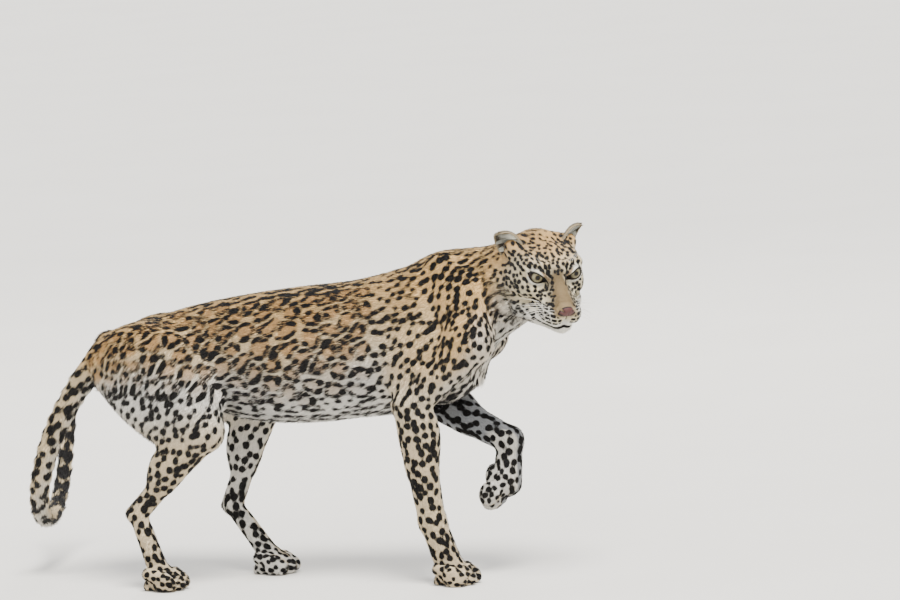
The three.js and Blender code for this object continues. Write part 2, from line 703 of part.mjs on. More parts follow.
const headCutter = headShape(GAP);
const beyondNeck = (grow) =>
  block(onHead(HEAD_START + 115, 10, -4), headWay(1, 0, 0), headWay(0, 1, 0), [230, 180, 188], grow);
rest = rest.subtract(beyondNeck(GAP / 2));
for (const [side, s] of SIDES) {
  add(`eye_${side}`, solid(eyeBall(s, 0)), EYE);
  add(`ear_${side}`, foldedSolid(earShape(s)).subtract(headCutter));
}

// Legs: below the elbow and knee, each leg is parted from the body by a plane
function leg(side, s, names, make) {
  const path = legPath(make.joints, make.top, make.middle, make.low, make.radii);
  const upperCut = path.bends[0] + make.cuts[0];
  const lowerCut = path.bends[1] - make.cuts[1];
  const lower = along(path, upperCut + GAP / 2, lowerCut - GAP / 2, make.rings);
  const paw = along(path, lowerCut + GAP / 2, path.length, 12);
  const shape = (stations, grow) => wrap(make.field, stations, { around: 22, reach: 66, grow });
  const { centre, over } = lower[0];
  const down = LATERAL.clone().cross(over);
  const beyond = centre.clone().addScaledVector(down, LEG_BLOCK[0] / 2 - GAP).setY(s * LEG_BLOCK_MIDDLE);
  rest = rest.subtract(block(beyond, down, LATERAL, LEG_BLOCK, 0)).subtract(shape(lower, 2 * GAP));
  add(`${names[0]}_${side}`, shape(lower, 0));
  add(`${names[1]}_${side}`, wrap(make.field, paw, { around: 24, domeEnd: 3, reach: 60 }).subtract(floor));
}

for (const [side, s] of SIDES) {
  const [fore, hind] = [FORE[side], HIND[side]];
  leg(side, s, ["forearm", "forepaw"], {
    joints: fore, top: fore.joint, middle: fore.elbow, low: fore.wrist, ...FORE_CUTS[side],
    field: [...shoulderParts(side, s), ...forearmParts(side, s), ...pawParts(fore, PAW_WIDTH)],
  });
  leg(side, s, ["shank", "hindpaw"], {
    joints: hind, top: hind.hip, middle: hind.knee, low: hind.hock, ...HIND_CUTS[side],
    field: [...thighParts(side, s), ...shankParts(side), ...pawParts(hind, HIND_PAW_WIDTH)],
  });
}

rest = rest.subtract(headCutter);

// Tail
const tailWay = tailCurve.getTangentAt(TAIL_CUTS[0]);
const beyondRoot = tailCurve.getPointAt(TAIL_CUTS[0]).addScaledVector(tailWay, 40 - GAP / 2);
rest = rest.subtract(block(beyondRoot, tailWay, LATERAL, [80, 90, 90], 0));
["tail_base", "tail_middle", "tail_tip"].forEach((name, i) => {
  add(name, tailShape(TAIL_CUTS[i], TAIL_CUTS[i + 1], GAP / 2, i < 2 ? GAP / 2 : 0));
});

// Shoulders and thighs are parted from the trunk by leaning blocks, then the neck by a plane
for (const [side, s] of SIDES) {
  const { shoulder, thigh } = LIMB_BLOCKS[side];
  take(`shoulder_${side}`, shoulder.centre, shoulder.way, [0, s, 0], shoulder.size);
  take(`thigh_${side}`, thigh.centre, thigh.way, [0, s, 0], thigh.size);
}
take("neck", NECK_BLOCK.centre, NECK_BLOCK.way, [0, 1, 0], NECK_BLOCK.size);
add("torso", rest);

// The origin is the middle of the animal's own box, at floor level
const middle = new THREE.Box3().setFromObject(leopard).getCenter(V(0, 0, 0));
leopard.position.set(-middle.x, -middle.y, 0);

export default leopard;
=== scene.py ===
"""A life-size walking leopard: skin, coat, eyes, ears, nose pad and whiskers.

Shapes are worked out in the animal's own millimetres (+X the way it walks, +Y its left,
+Z up, soles at zero) and carried into the frame's metres by one shift. The skin is drawn
onto the same smooth field of bones and muscles as the solids, lying inside them by the
depth of the coat, and the coat is many thin closed tufts rooted on that skin.
"""

import logging
import math
from dataclasses import dataclass, field
from enum import Enum
from typing import Callable, Sequence

import bmesh
import bpy
import numpy as np
from mathutils import Matrix, Vector
from mathutils.kdtree import KDTree

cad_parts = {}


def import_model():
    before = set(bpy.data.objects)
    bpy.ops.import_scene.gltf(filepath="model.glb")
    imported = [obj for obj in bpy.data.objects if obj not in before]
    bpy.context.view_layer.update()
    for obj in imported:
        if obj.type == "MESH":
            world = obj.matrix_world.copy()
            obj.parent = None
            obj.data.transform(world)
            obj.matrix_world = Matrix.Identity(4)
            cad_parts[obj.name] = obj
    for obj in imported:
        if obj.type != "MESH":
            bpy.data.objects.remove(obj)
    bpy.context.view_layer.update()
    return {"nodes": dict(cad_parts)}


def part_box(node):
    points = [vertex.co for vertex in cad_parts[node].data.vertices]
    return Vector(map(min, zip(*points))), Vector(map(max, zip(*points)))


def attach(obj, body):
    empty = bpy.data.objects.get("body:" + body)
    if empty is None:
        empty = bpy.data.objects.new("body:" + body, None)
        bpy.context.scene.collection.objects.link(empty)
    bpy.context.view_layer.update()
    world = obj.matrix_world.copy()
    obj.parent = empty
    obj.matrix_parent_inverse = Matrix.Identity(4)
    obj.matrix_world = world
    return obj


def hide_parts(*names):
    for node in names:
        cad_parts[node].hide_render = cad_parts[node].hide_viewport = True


LOG = logging.getLogger("leopard")
Array = np.ndarray
MM = 0.001

EYE_RADIUS = 14.5
HEAD_YAW = math.radians(-51)
HEAD_PITCH = math.radians(-20)
EYE_MIDPOINT = np.array([390.0, -90.0, 522.0])
SIDES = (("right", -1), ("left", 1))


def unit(v: Array) -> Array:
    """Vectors divided by their own length."""
    v = np.asarray(v, float)
    return v / np.maximum(np.linalg.norm(v, axis=-1, keepdims=True), 1e-9)


def ease(low: float, high: float, x: Array) -> Array:
    """A smooth step: 0 at low, 1 at high, 3t^2 - 2t^3 between; low may lie above high."""
    t = np.clip((np.asarray(x, float) - low) / (high - low), 0, 1)
    return t * t * (3 - 2 * t)


def blend(a: Array, b: Array, t: Array) -> Array:
    """a where t is 0 and b where t is 1, with t one number a row for colours."""
    a, b = np.asarray(a, float), np.asarray(b, float)
    t = np.asarray(t, float)
    return a + (b - a) * (t[:, None] if a.ndim != t.ndim or b.ndim != t.ndim else t)


def paint(r: int, g: int, b: int) -> Array:
    """A screen colour of 0 to 255 as linear light."""
    c = np.array([r, g, b]) / 255
    return np.where(c <= 0.04045, c / 12.92, ((c + 0.055) / 1.055) ** 2.4)


HEAD_FORWARD = np.array([
    math.cos(HEAD_PITCH) * math.cos(HEAD_YAW),
    math.cos(HEAD_PITCH) * math.sin(HEAD_YAW),
    math.sin(HEAD_PITCH),
])
HEAD_LEFT = np.array([-math.sin(HEAD_YAW), math.cos(HEAD_YAW), 0.0])
HEAD_UP = np.cross(HEAD_FORWARD, HEAD_LEFT)
HEAD_AXES = np.array([HEAD_FORWARD, HEAD_LEFT, HEAD_UP])


def on_head(f: float, l: float, u: float) -> Array:
    """A point given forward, left and up from midway between the eyes."""
    return EYE_MIDPOINT + np.array([f, l, u]) @ HEAD_AXES


def head_way(f: float, l: float, u: float) -> Array:
    """A direction given in the head's own axes."""
    return unit(np.array([f, l, u]) @ HEAD_AXES)


def in_head(points: Array) -> Array:
    """Points as forward, left and up from midway between the eyes."""
    return (points - EYE_MIDPOINT) @ HEAD_AXES.T


def eye_centre(s: int) -> Array:
    """Middle of an eyeball; s is -1 on the right and 1 on the left."""
    return on_head(-14, s * 32, 0)


class Region(Enum):
    """Regions of the body, each with its coat: depth and tuft length in mm, and its lay."""

    TRUNK = (6.5, 11.5, (-1.0, 0.0, -0.3))
    NECK = (6.0, 10.5, (-0.8, 0.1, -0.6))
    SHOULDER = (5.5, 9.0, (-0.4, 0.0, -0.92))
    THIGH = (6.0, 10.5, (-0.6, 0.0, -0.8))
    FOREARM = (4.0, 7.5, None)
    SHANK = (4.0, 8.0, None)
    PAW = (2.8, 5.0, None)
    TAIL = (6.5, 13.0, None)
    HEAD = (2.6, 4.6, None)

    @property
    def depth(self) -> float:
        """How far the skin lies under the tips of the coat."""
        return self.value[0]

    @property
    def length(self) -> float:
        """Length of a tuft."""
        return self.value[1]

    @property
    def lay(self) -> Sequence[float] | None:
        """Direction of the hair, or None where it follows the part's own axis."""
        return self.value[2]


@dataclass(frozen=True)
class Rod:
    """A bone: a capsule with a radius at each end."""

    start: Array
    end: Array
    r0: float
    r1: float
    melt: float
    region: Region = Region.TRUNK

    def ball(self) -> tuple[Array, float]:
        """Middle and radius of a ball that holds the part."""
        half = np.linalg.norm(self.end - self.start) / 2
        return (self.start + self.end) / 2, half + max(self.r0, self.r1)

    def distance(self, points: Array) -> Array:
        """Distance to the axis, less the radius at the nearest place on it."""
        axis = self.end - self.start
        q = points - self.start
        t = np.clip(q @ axis / (axis @ axis), 0, 1)
        return np.linalg.norm(q - t[:, None] * axis, axis=1) - (self.r0 + (self.r1 - self.r0) * t)

    def way(self) -> Array:
        """Direction from start to end."""
        return unit(self.end - self.start)


@dataclass(frozen=True)
class Spindle:
    """A muscle: an ellipsoid from end to end, with a half-width across and a half-depth."""

    start: Array
    end: Array
    across: float
    thick: float
    melt: float
    region: Region = Region.TRUNK
    side: tuple[float, float, float] = (0.0, 1.0, 0.0)

    def ball(self) -> tuple[Array, float]:
        """Middle and radius of a ball that holds the part."""
        half = np.linalg.norm(self.end - self.start) / 2
        return (self.start + self.end) / 2, max(half, self.across, self.thick)

    def distance(self, points: Array) -> Array:
        """k0 (k0 - 1) / k1, where k0 and k1 are the lengths of the scaled offset."""
        axis = self.end - self.start
        half = np.linalg.norm(axis) / 2
        axis = axis / (2 * half)
        side = np.asarray(self.side, float)
        across = unit(side - (side @ axis) * axis)
        q = points - (self.start + self.end) / 2
        sizes = np.array([half, self.across, self.thick])
        n = q @ np.array([axis, across, np.cross(axis, across)]).T / sizes
        k0 = np.linalg.norm(n, axis=1)
        k1 = np.linalg.norm(n / sizes, axis=1)
        return k0 * (k0 - 1) / np.maximum(k1, 1e-9)

    def way(self) -> Array:
        """Direction from start to end."""
        return unit(self.end - self.start)


@dataclass(frozen=True)
class Trunk:
    """The trunk: oval sections swept along the spine, fuller below than above.

    stations are rows of x, back line, belly line and half-width, joined by a smooth
    curve, and waist is the height of the widest line as a share of the depth.
    """

    stations: tuple = (
        (-478, 396, 330, 40), (-440, 428, 322, 64), (-385, 457, 316, 80),
        (-300, 481, 306, 84), (-200, 498, 278, 96), (-100, 509, 272, 107),
        (0, 518, 279, 110), (90, 538, 287, 104), (130, 553, 295, 96), (165, 556, 303, 86),
        (210, 542, 332, 66),
    )
    waist: float = 0.47
    melt: float = 1
    region: Region = Region.TRUNK

    def ball(self) -> tuple[Array, float]:
        """Middle and radius of a ball that holds the part."""
        return np.array([-130.0, 0.0, 400.0]), 420.0

    def sections(self, x: Array) -> Array:
        """Back line, belly line and half-width at each x.

        Args:
            x: places along the body; those past the ends take the end section.

        Returns:
            One row of three values for each x, from the cubic through the stations.
        """
        table = np.array(self.stations, float)
        s = np.clip(x, table[0, 0], table[-1, 0])
        i = np.clip(np.searchsorted(table[:, 0], s) - 1, 0, len(table) - 2)
        a, b = table[i], table[i + 1]
        before, after = table[np.maximum(i - 1, 0)], table[np.minimum(i + 2, len(table) - 1)]
        h = (b[:, :1] - a[:, :1])
        t = (s[:, None] - a[:, :1]) / h
        m0 = (b - before) / (b[:, :1] - before[:, :1]) * h
        m1 = (after - a) / (after[:, :1] - a[:, :1]) * h
        curve = (
            (2 * t**3 - 3 * t**2 + 1) * a + (t**3 - 2 * t**2 + t) * m0
            + (3 * t**2 - 2 * t**3) * b + (t**3 - t**2) * m1
        )
        return curve[:, 1:]

    def distance(self, points: Array) -> Array:
        """r (1 - 1 / share) across a section, where share is the offset over the section's reach."""
        table = self.stations
        x = np.clip(points[:, 0], table[0][0], table[-1][0])
        top, bottom, half = self.sections(x).T
        middle = bottom + (top - bottom) * self.waist
        dz = points[:, 2] - middle
        reach = np.where(dz > 0, top - middle, middle - bottom)
        r = np.hypot(points[:, 1], dz)
        share = np.hypot(points[:, 1] / half, dz / reach)
        radial = np.where(share > 1e-6, r * (1 - 1 / np.maximum(share, 1e-6)), -half)
        beyond = np.abs(points[:, 0] - x)
        return np.where(beyond > 0, np.hypot(np.maximum(radial, 0), beyond), radial)

    def way(self) -> Array:
        """Direction towards the tail."""
        return np.array([-1.0, 0.0, 0.0])


Part = Rod | Spindle | Trunk


@dataclass(frozen=True)
class ForeLeg:
    """Joints of a foreleg, with the way the toes point and the top of the paw."""

    blade: tuple
    joint: tuple
    elbow: tuple
    wrist: tuple
    knuckle: tuple
    toe: tuple
    dorsal: tuple


@dataclass(frozen=True)
class HindLeg:
    """Joints of a hind leg, with the way the toes point and the top of the paw."""

    hip: tuple
    knee: tuple
    hock: tuple
    knuckle: tuple
    toe: tuple
    dorsal: tuple = (0, 0, 1)


def mix(a: Sequence[float], b: Sequence[float], t: float) -> Array:
    """A point between a and b."""
    return np.asarray(a, float) * (1 - t) + np.asarray(b, float) * t


def shift(a: Sequence[float], x: float, y: float, z: float) -> Array:
    """A point moved by x, y and z."""
    return np.asarray(a, float) + np.array([x, y, z], float)


@dataclass
class Anatomy:
    """The field of bones and muscles that both the solids and the skin follow."""

    fore: dict = field(default_factory=lambda: {
        "right": ForeLeg((166, -38, 541), (226, -82, 412), (116, -92, 312), (128, -58, 110),
                         (150, -52, 35), (1, -0.06, 0), (0, 0, 1)),
        "left": ForeLeg((160, 38, 528), (196, 76, 405), (70, 94, 304), (238, 46, 229),
                        (233, 41, 157), (-0.24, -0.06, -0.97), (0.97, 0, -0.24)),
    })
    hind: dict = field(default_factory=lambda: {
        "right": HindLeg((-388, -56, 416), (-262, -90, 272), (-396, -80, 130), (-368, -78, 36),
                         (1, -0.05, 0)),
        "left": HindLeg((-382, 56, 418), (-218, 88, 296), (-284, 80, 118), (-226, 78, 36),
                        (1, 0.05, 0)),
    })
    tail: tuple = (
        (-455, 0, 408), (-520, 2, 345), (-580, 10, 258), (-622, 34, 170), (-644, 80, 112),
        (-656, 140, 92), (-666, 203, 105), (-674, 260, 150), (-678, 300, 212), (-674, 322, 278),
    )
    tail_root_radius: float = 27
    tail_tip_radius: float = 15
    fore_paw_width: float = 74
    hind_paw_width: float = 66
    trunk: Trunk = field(default_factory=Trunk)
    parts: list = field(default_factory=list)

    def __post_init__(self) -> None:
        """Lists every part in the order in which it melts into those before it."""
        self.parts = [self.trunk, *self.neck()]
        for make in (self.shoulder, self.thigh):
            self.parts += [p for side, s in SIDES for p in make(side, s)]
        self.parts += [*self.tail_rods(), *self.head()]
        for make in (self.forearm, self.shank):
            self.parts += [p for side, s in SIDES for p in make(side, s)]
        for side, _ in SIDES:
            self.parts += self.paw(self.fore[side], self.fore_paw_width)
            self.parts += self.paw(self.hind[side], self.hind_paw_width)

    def neck(self) -> list[Part]:
        """Neck and chest, from the head down to the shoulders."""
        r = Region.NECK
        return [
            Rod(on_head(-96, 0, -10), np.array([176.0, 0, 488]), 52, 54, 40, r),
            Rod(on_head(-88, 0, -40), np.array([176.0, 0, 425]), 55, 62, 36, r),
            Spindle(np.array([205.0, 0, 445]), np.array([140.0, 0, 330]), 62, 46, 40, r),
            Spindle(np.array([262.0, -4, 545]), np.array([140.0, 0, 538]), 24, 20, 24, r),
        ]

    def shoulder(self, side: str, s: int) -> list[Part]:
        """Shoulder blade, upper arm and the muscles over them."""
        j, r = self.fore[side], Region.SHOULDER
        return [
            Rod(shift(j.blade, 0, 0, 0), mix(j.blade, j.joint, 0.9), 21, 40, 26, r),
            Spindle(shift(j.blade, 22, s * 6, -6), shift(j.joint, 8, s * 2, 6), 24, 40, 22, r),
            Rod(shift(j.joint, 0, 0, 0), shift(j.elbow, 0, 0, 0), 41, 30, 26, r),
            Spindle(shift(j.blade, -22, s * 22, -70), shift(j.elbow, -12, s * 4, 8), 26, 44, 26, r),
        ]

    def forearm(self, side: str, s: int) -> list[Part]:
        """Forearm, point of the elbow and wrist."""
        j, r = self.fore[side], Region.FOREARM
        return [
            Rod(shift(j.elbow, 0, 0, 0), mix(j.elbow, j.wrist, 0.55), 33, 29, 8, r),
            Rod(mix(j.elbow, j.wrist, 0.5), shift(j.wrist, 0, 0, 0), 29, 25, 8, r),
            Spindle(shift(j.elbow, 14, s * 2, 16), mix(j.elbow, j.wrist, 0.62), 30, 36, 12, r),
            Spindle(shift(j.elbow, -26, 0, 16), shift(j.elbow, 6, 0, -36), 18, 17, 10, r),
            Rod(shift(j.wrist, 0, 0, 0), shift(j.knuckle, 0, 0, 0), 25, 25, 10, r),
        ]

    def thigh(self, side: str, s: int) -> list[Part]:
        """Thigh and rump."""
        j, r = self.hind[side], Region.THIGH
        return [
            Rod(shift(j.hip, 0, 0, -22), shift(j.knee, 0, 0, 0), 56, 37, 34, r),
            Spindle(shift(j.hip, 50, s * 14, 20), shift(j.knee, 10, 0, -12), 34, 60, 26, r),
            Spindle(shift(j.hip, -82, s * 8, -6), shift(j.knee, -30, 0, -28), 34, 46, 26, r),
            Spindle(shift(j.hip, -86, -s * 14, -16), shift(j.hip, 80, s * 2, 6), 50, 40, 30, r),
        ]

    def shank(self, side: str, s: int) -> list[Part]:
        """Lower leg, its calf, the tendon to the heel, and the long foot."""
        j, r = self.hind[side], Region.SHANK
        heel = shift(j.hock, -13, 0, 4)
        return [
            Rod(shift(j.knee, 0, 0, 0), mix(j.knee, j.hock, 0.6), 35, 21, 10, r),
            Rod(mix(j.knee, j.hock, 0.5), shift(j.hock, 0, 0, 0), 21, 17, 10, r),
            Spindle(shift(j.knee, -22, 0, 14), mix(j.knee, heel, 0.72), 25, 32, 14, r),
            Rod(mix(j.knee, heel, 0.6), heel, 11, 11, 12, r),
            Rod(shift(j.hock, 0, 0, 0), shift(j.knuckle, 0, 0, 0), 18, 19, 8, r),
        ]

    def paw(self, j: ForeLeg | HindLeg, width: float) -> list[Part]:
        """A palm, a pad and four toes side by side."""
        toe = unit(j.toe)
        lat = unit(np.cross(j.dorsal, toe))
        dorsal = unit(np.cross(toe, lat))
        knuckle = np.asarray(j.knuckle, float)
        w, r, side = width / 74, Region.PAW, tuple(lat)

        def spot(f: float, l: float, u: float) -> Array:
            """A point along the toes, across the paw and above the knuckle."""
            return knuckle + toe * f + lat * l + dorsal * u

        parts: list[Part] = [
            Spindle(spot(-24, 0, -14), spot(34, 0, -16), 31 * w, 24, 12, r, side),
            Spindle(spot(-30, 0, -27), spot(8, 0, -31), 22 * w, 13, 6, r, side),
        ]
        for f, l in ((2, -28), (12, -10.5), (12, 10.5), (2, 28)):
            parts.append(
                Spindle(spot(f - 4, l * w, -18), spot(f + 42, l * w * 1.04, -24), 12.2 * w, 19, 3, r, side)
            )
            parts.append(Rod(spot(f - 14, l * w * 0.7, -6), spot(f + 16, l * w, -10), 12, 11.5, 6, r))
        return parts

    def tail_line(self, count: int) -> Array:
        """Points along the tail, evenly spaced on a smooth curve through its bends."""
        knots = np.array(self.tail, float)
        ends = np.vstack([2 * knots[0] - knots[1], knots, 2 * knots[-1] - knots[-2]])
        t = np.linspace(0, 1, 40, endpoint=False)[:, None]
        runs = []
        for i in range(1, len(ends) - 2):
            p0, p1, p2, p3 = ends[i - 1:i + 3]
            runs.append(0.5 * (
                2 * p1 + (p2 - p0) * t + (2 * p0 - 5 * p1 + 4 * p2 - p3) * t**2
                + (3 * p1 - p0 - 3 * p2 + p3) * t**3
            ))
        line = np.vstack([*runs, knots[-1:]])
        gone = np.concatenate([[0], np.cumsum(np.linalg.norm(np.diff(line, axis=0), axis=1))])
        even = np.linspace(0, gone[-1], count)
        return np.stack([np.interp(even, gone, line[:, i]) for i in range(3)], axis=1)

    def tail_rods(self) -> list[Part]:
        """The tail as short rods end to end, thinner towards the tip."""
        line = self.tail_line(27)
        share = np.linspace(0, 1, len(line)) ** 0.7
        radius = self.tail_root_radius + (self.tail_tip_radius - self.tail_root_radius) * share
        parts: list[Part] = [Rod(line[0], line[3], 34, radius[3], 22, Region.TAIL)]
        for a, b, r0, r1 in zip(line[2:-2], line[3:-1], radius[2:-2], radius[3:-1]):
            parts.append(Rod(a, b, r0, r1, 4, Region.TAIL))
        return parts

    def head(self) -> list[Part]:
        """Skull, jaws, cheeks, whisker pads and lids, in the head's own axes."""
        r, lat = Region.HEAD, tuple(HEAD_LEFT)
        parts: list[Part] = [
            Spindle(on_head(-128, 0, 0), on_head(-14, 0, -2), 51, 38, 1, r, lat),
            Spindle(on_head(-70, 0, 5), on_head(4, 0, -1), 37, 26, 16, r, lat),
            Rod(on_head(-8, 0, -4), on_head(44, 0, -40), 19, 14, 12, r),
            Spindle(on_head(-52, 0, -36), on_head(46, 0, -46), 37, 27, 14, r, lat),
            Rod(on_head(35, 0, -76), on_head(-10, 0, -68), 12, 17, 8, r),
            Spindle(on_head(-112, 0, -62), on_head(-6, 0, -64), 38, 27, 16, r, lat),
        ]
        for _, s in SIDES:
            parts += [
                Rod(on_head(-10, s * 17, 17), on_head(-26, s * 44, 10), 7, 9, 10, r),
                Spindle(on_head(-78, s * 48, -24), on_head(2, s * 36, -24), 20, 24, 14, r, lat),
                Spindle(on_head(-112, s * 42, -32), on_head(-30, s * 40, -40), 28, 38, 16, r, lat),
                Rod(on_head(32, s * 10, -74), on_head(-40, s * 38, -66), 10, 24, 8, r),
                Spindle(on_head(-6, s * 24, -52), on_head(58, s * 12, -53), 19, 20, 7, r, lat),
                Spindle(on_head(-17, s * 30, 0), on_head(5, s * 34, 0), 18, 15, 5, r, lat),
                Spindle(on_head(-92, s * 40, 4), on_head(-18, s * 38, 4), 18, 24, 16, r, lat),
                Rod(on_head(-92, s * 38, 14), on_head(-84, s * 48, 20), 20, 17, 14, r),
            ]
        parts.append(Spindle(on_head(42, 0, -36), on_head(61, 0, -37), 12.5, 9, 4, r, lat))
        return parts

    def near(self, part: Part, points: Array, margin: float = 46.0) -> Array:
        """Numbers of the points close enough to a part to feel it."""
        centre, radius = part.ball()
        return np.flatnonzero(((points - centre) ** 2).sum(1) < (radius + margin) ** 2)

    def distance(self, points: Array) -> Array:
        """Smooth union in order: min(d, e) - h^2 / (4 melt), h = max(melt - |d - e|, 0)."""
        d = np.full(len(points), 200.0)
        for part in self.parts:
            i = self.near(part, points)
            e, old = part.distance(points[i]), d[i]
            h = np.maximum(part.melt - np.abs(old - e), 0)
            d[i] = np.minimum(old, e) - h * h / (4 * part.melt)
        return d

    def draw(self, points: Array, depth: Array, rounds: int = 3) -> Array:
        """Moves points down the field's slope until they lie inside it by depth.

        Args:
            points: places close to the surface.
            depth: how far inside the surface each should end.
            rounds: how often the step is repeated.

        Returns:
            The moved points.
        """
        p = points.copy()
        for _ in range(rounds):
            d = self.distance(p)
            slope = np.stack([self.distance(p + 0.4 * e) - d for e in np.eye(3)], axis=1) / 0.4
            steep = np.maximum((slope**2).sum(1), 0.3)
            p -= slope * (np.clip(d + depth, -7, 7) / steep)[:, None]
        return p

    def coat(self, points: Array) -> dict[str, Array]:
        """What the coat is like at each point, shared between the parts nearby.

        Args:
            points: places on the skin.

        Returns:
            "depth" and "length" in mm, "lay" as directions, and each region's share.
        """
        total = np.full(len(points), 1e-6)
        depth, length = np.zeros(len(points)), np.zeros(len(points))
        lay = np.zeros((len(points), 3))
        shares = {r: np.zeros(len(points)) for r in Region}
        for part in self.parts:
            i = self.near(part, points, 30)
            w = np.exp(-np.clip(part.distance(points[i]), -50, 60) / 9)
            total[i] += w
            depth[i] += w * part.region.depth
            length[i] += w * part.region.length
            shares[part.region][i] += w
            if part.region is Region.HEAD:
                lay[i] += w[:, None] * unit(points[i] - on_head(74, 0, -34))
            else:
                lay[i] += w[:, None] * unit(part.region.lay or part.way())
        return {
            "depth": depth / total, "length": length / total, "lay": unit(lay),
            **{r.name: share / total for r, share in shares.items()},
        }


@dataclass
class Lids:
    """The almond opening of one eye, in a plane square to its gaze."""

    s: int
    outer: tuple = (-13.0, 3.0)
    inner: tuple = (17.0, -9.5)
    upper: tuple = ((-9.0, 11.5), (5.5, 11.0))
    lower: tuple = ((7.0, -10.5), (-8.0, -10.0))

    def __post_init__(self) -> None:
        """Works out the eye's own axes: inwards to the nose, over, and along the gaze."""
        self.gaze = head_way(1, self.s * 0.3, 0.04)
        inward = head_way(0.3, -self.s, 0)
        self.over = unit(np.cross(self.gaze, inward)) * -self.s
        self.inward = inward

    def outline(self) -> Array:
        """The opening's edge, from two cubic curves between its corners."""
        t = np.linspace(0, 1, 14)[:, None]
        runs = []
        for a, (b, c), d in (
            (self.outer, self.upper, self.inner), (self.inner, self.lower, self.outer),
        ):
            a, b, c, d = (np.array(p) for p in (a, b, c, d))
            runs.append(
                (a * (1 - t)**3 + 3 * b * t * (1 - t)**2 + 3 * c * t**2 * (1 - t) + d * t**3)[:-1]
            )
        return np.vstack(runs)

    def flat(self, points: Array) -> Array:
        """Points as inward, over and along the gaze, from the middle of the eyeball."""
        return (points - eye_centre(self.s)) @ np.array([self.inward, self.over, self.gaze]).T

    def spot(self, a: float, b: float) -> Array:
        """A place in front of the eye, a inwards and b over its middle."""
        return eye_centre(self.s) + self.inward * a + self.over * b + self.gaze * 12

    def rim(self, flat: Array) -> Array:
        """Width of the dark rim: broad along the upper lid, narrow below."""
        share = (flat[:, 0] - self.outer[0]) / (self.inner[0] - self.outer[0])
        line = self.outer[1] + (self.inner[1] - self.outer[1]) * share
        return 1.5 + 1.3 * ease(-1.5, 2, flat[:, 1] - line)

    def edge(self, flat: Array) -> Array:
        """Signed distance from the opening's edge in its plane, below zero inside."""
        a = self.outline()
        b = np.roll(a, -1, axis=0)
        best = np.full(len(flat), 1e9)
        inside = np.zeros(len(flat), bool)
        x, y = flat[:, 0], flat[:, 1]
        for (ax, ay), (bx, by) in zip(a, b):
            t = np.clip(((x - ax) * (bx - ax) + (y - ay) * (by - ay)) / ((bx - ax)**2 + (by - ay)**2), 0, 1)
            best = np.minimum(best, np.hypot(x - ax - t * (bx - ax), y - ay - t * (by - ay)))
            crosses = (ay > y) != (by > y)
            slant = (bx - ax) * (y - ay) / (by - ay if by != ay else 1e-9) + ax
            inside ^= crosses & (x < slant)
        return np.where(inside, -best, best)


def curve_through(points: Sequence[Sequence[float]], count: int) -> Array:
    """A smooth line through a few points, as count points on it."""
    knots = np.array(points, float)
    ends = np.vstack([2 * knots[0] - knots[1], knots, 2 * knots[-1] - knots[-2]])
    place = np.linspace(0, len(knots) - 1, count)
    i = np.minimum(place.astype(int), len(knots) - 2)
    t = (place - i)[:, None]
    p0, p1, p2, p3 = ends[i], ends[i + 1], ends[i + 2], ends[i + 3]
    return 0.5 * (
        2 * p1 + (p2 - p0) * t + (2 * p0 - 5 * p1 + 4 * p2 - p3) * t**2
        + (3 * p1 - p0 - 3 * p2 + p3) * t**3
    )


def line_distance(points: Array, line: Array) -> Array:
    """Distance from each point to a line of short straight runs."""
    best = np.full(len(points), 1e9)
    for a, b in zip(line[:-1], line[1:]):
        axis = b - a
        t = np.clip((points - a) @ axis / (axis @ axis), 0, 1)
        best = np.minimum(best, np.linalg.norm(points - a - t[:, None] * axis, axis=1))
    return best


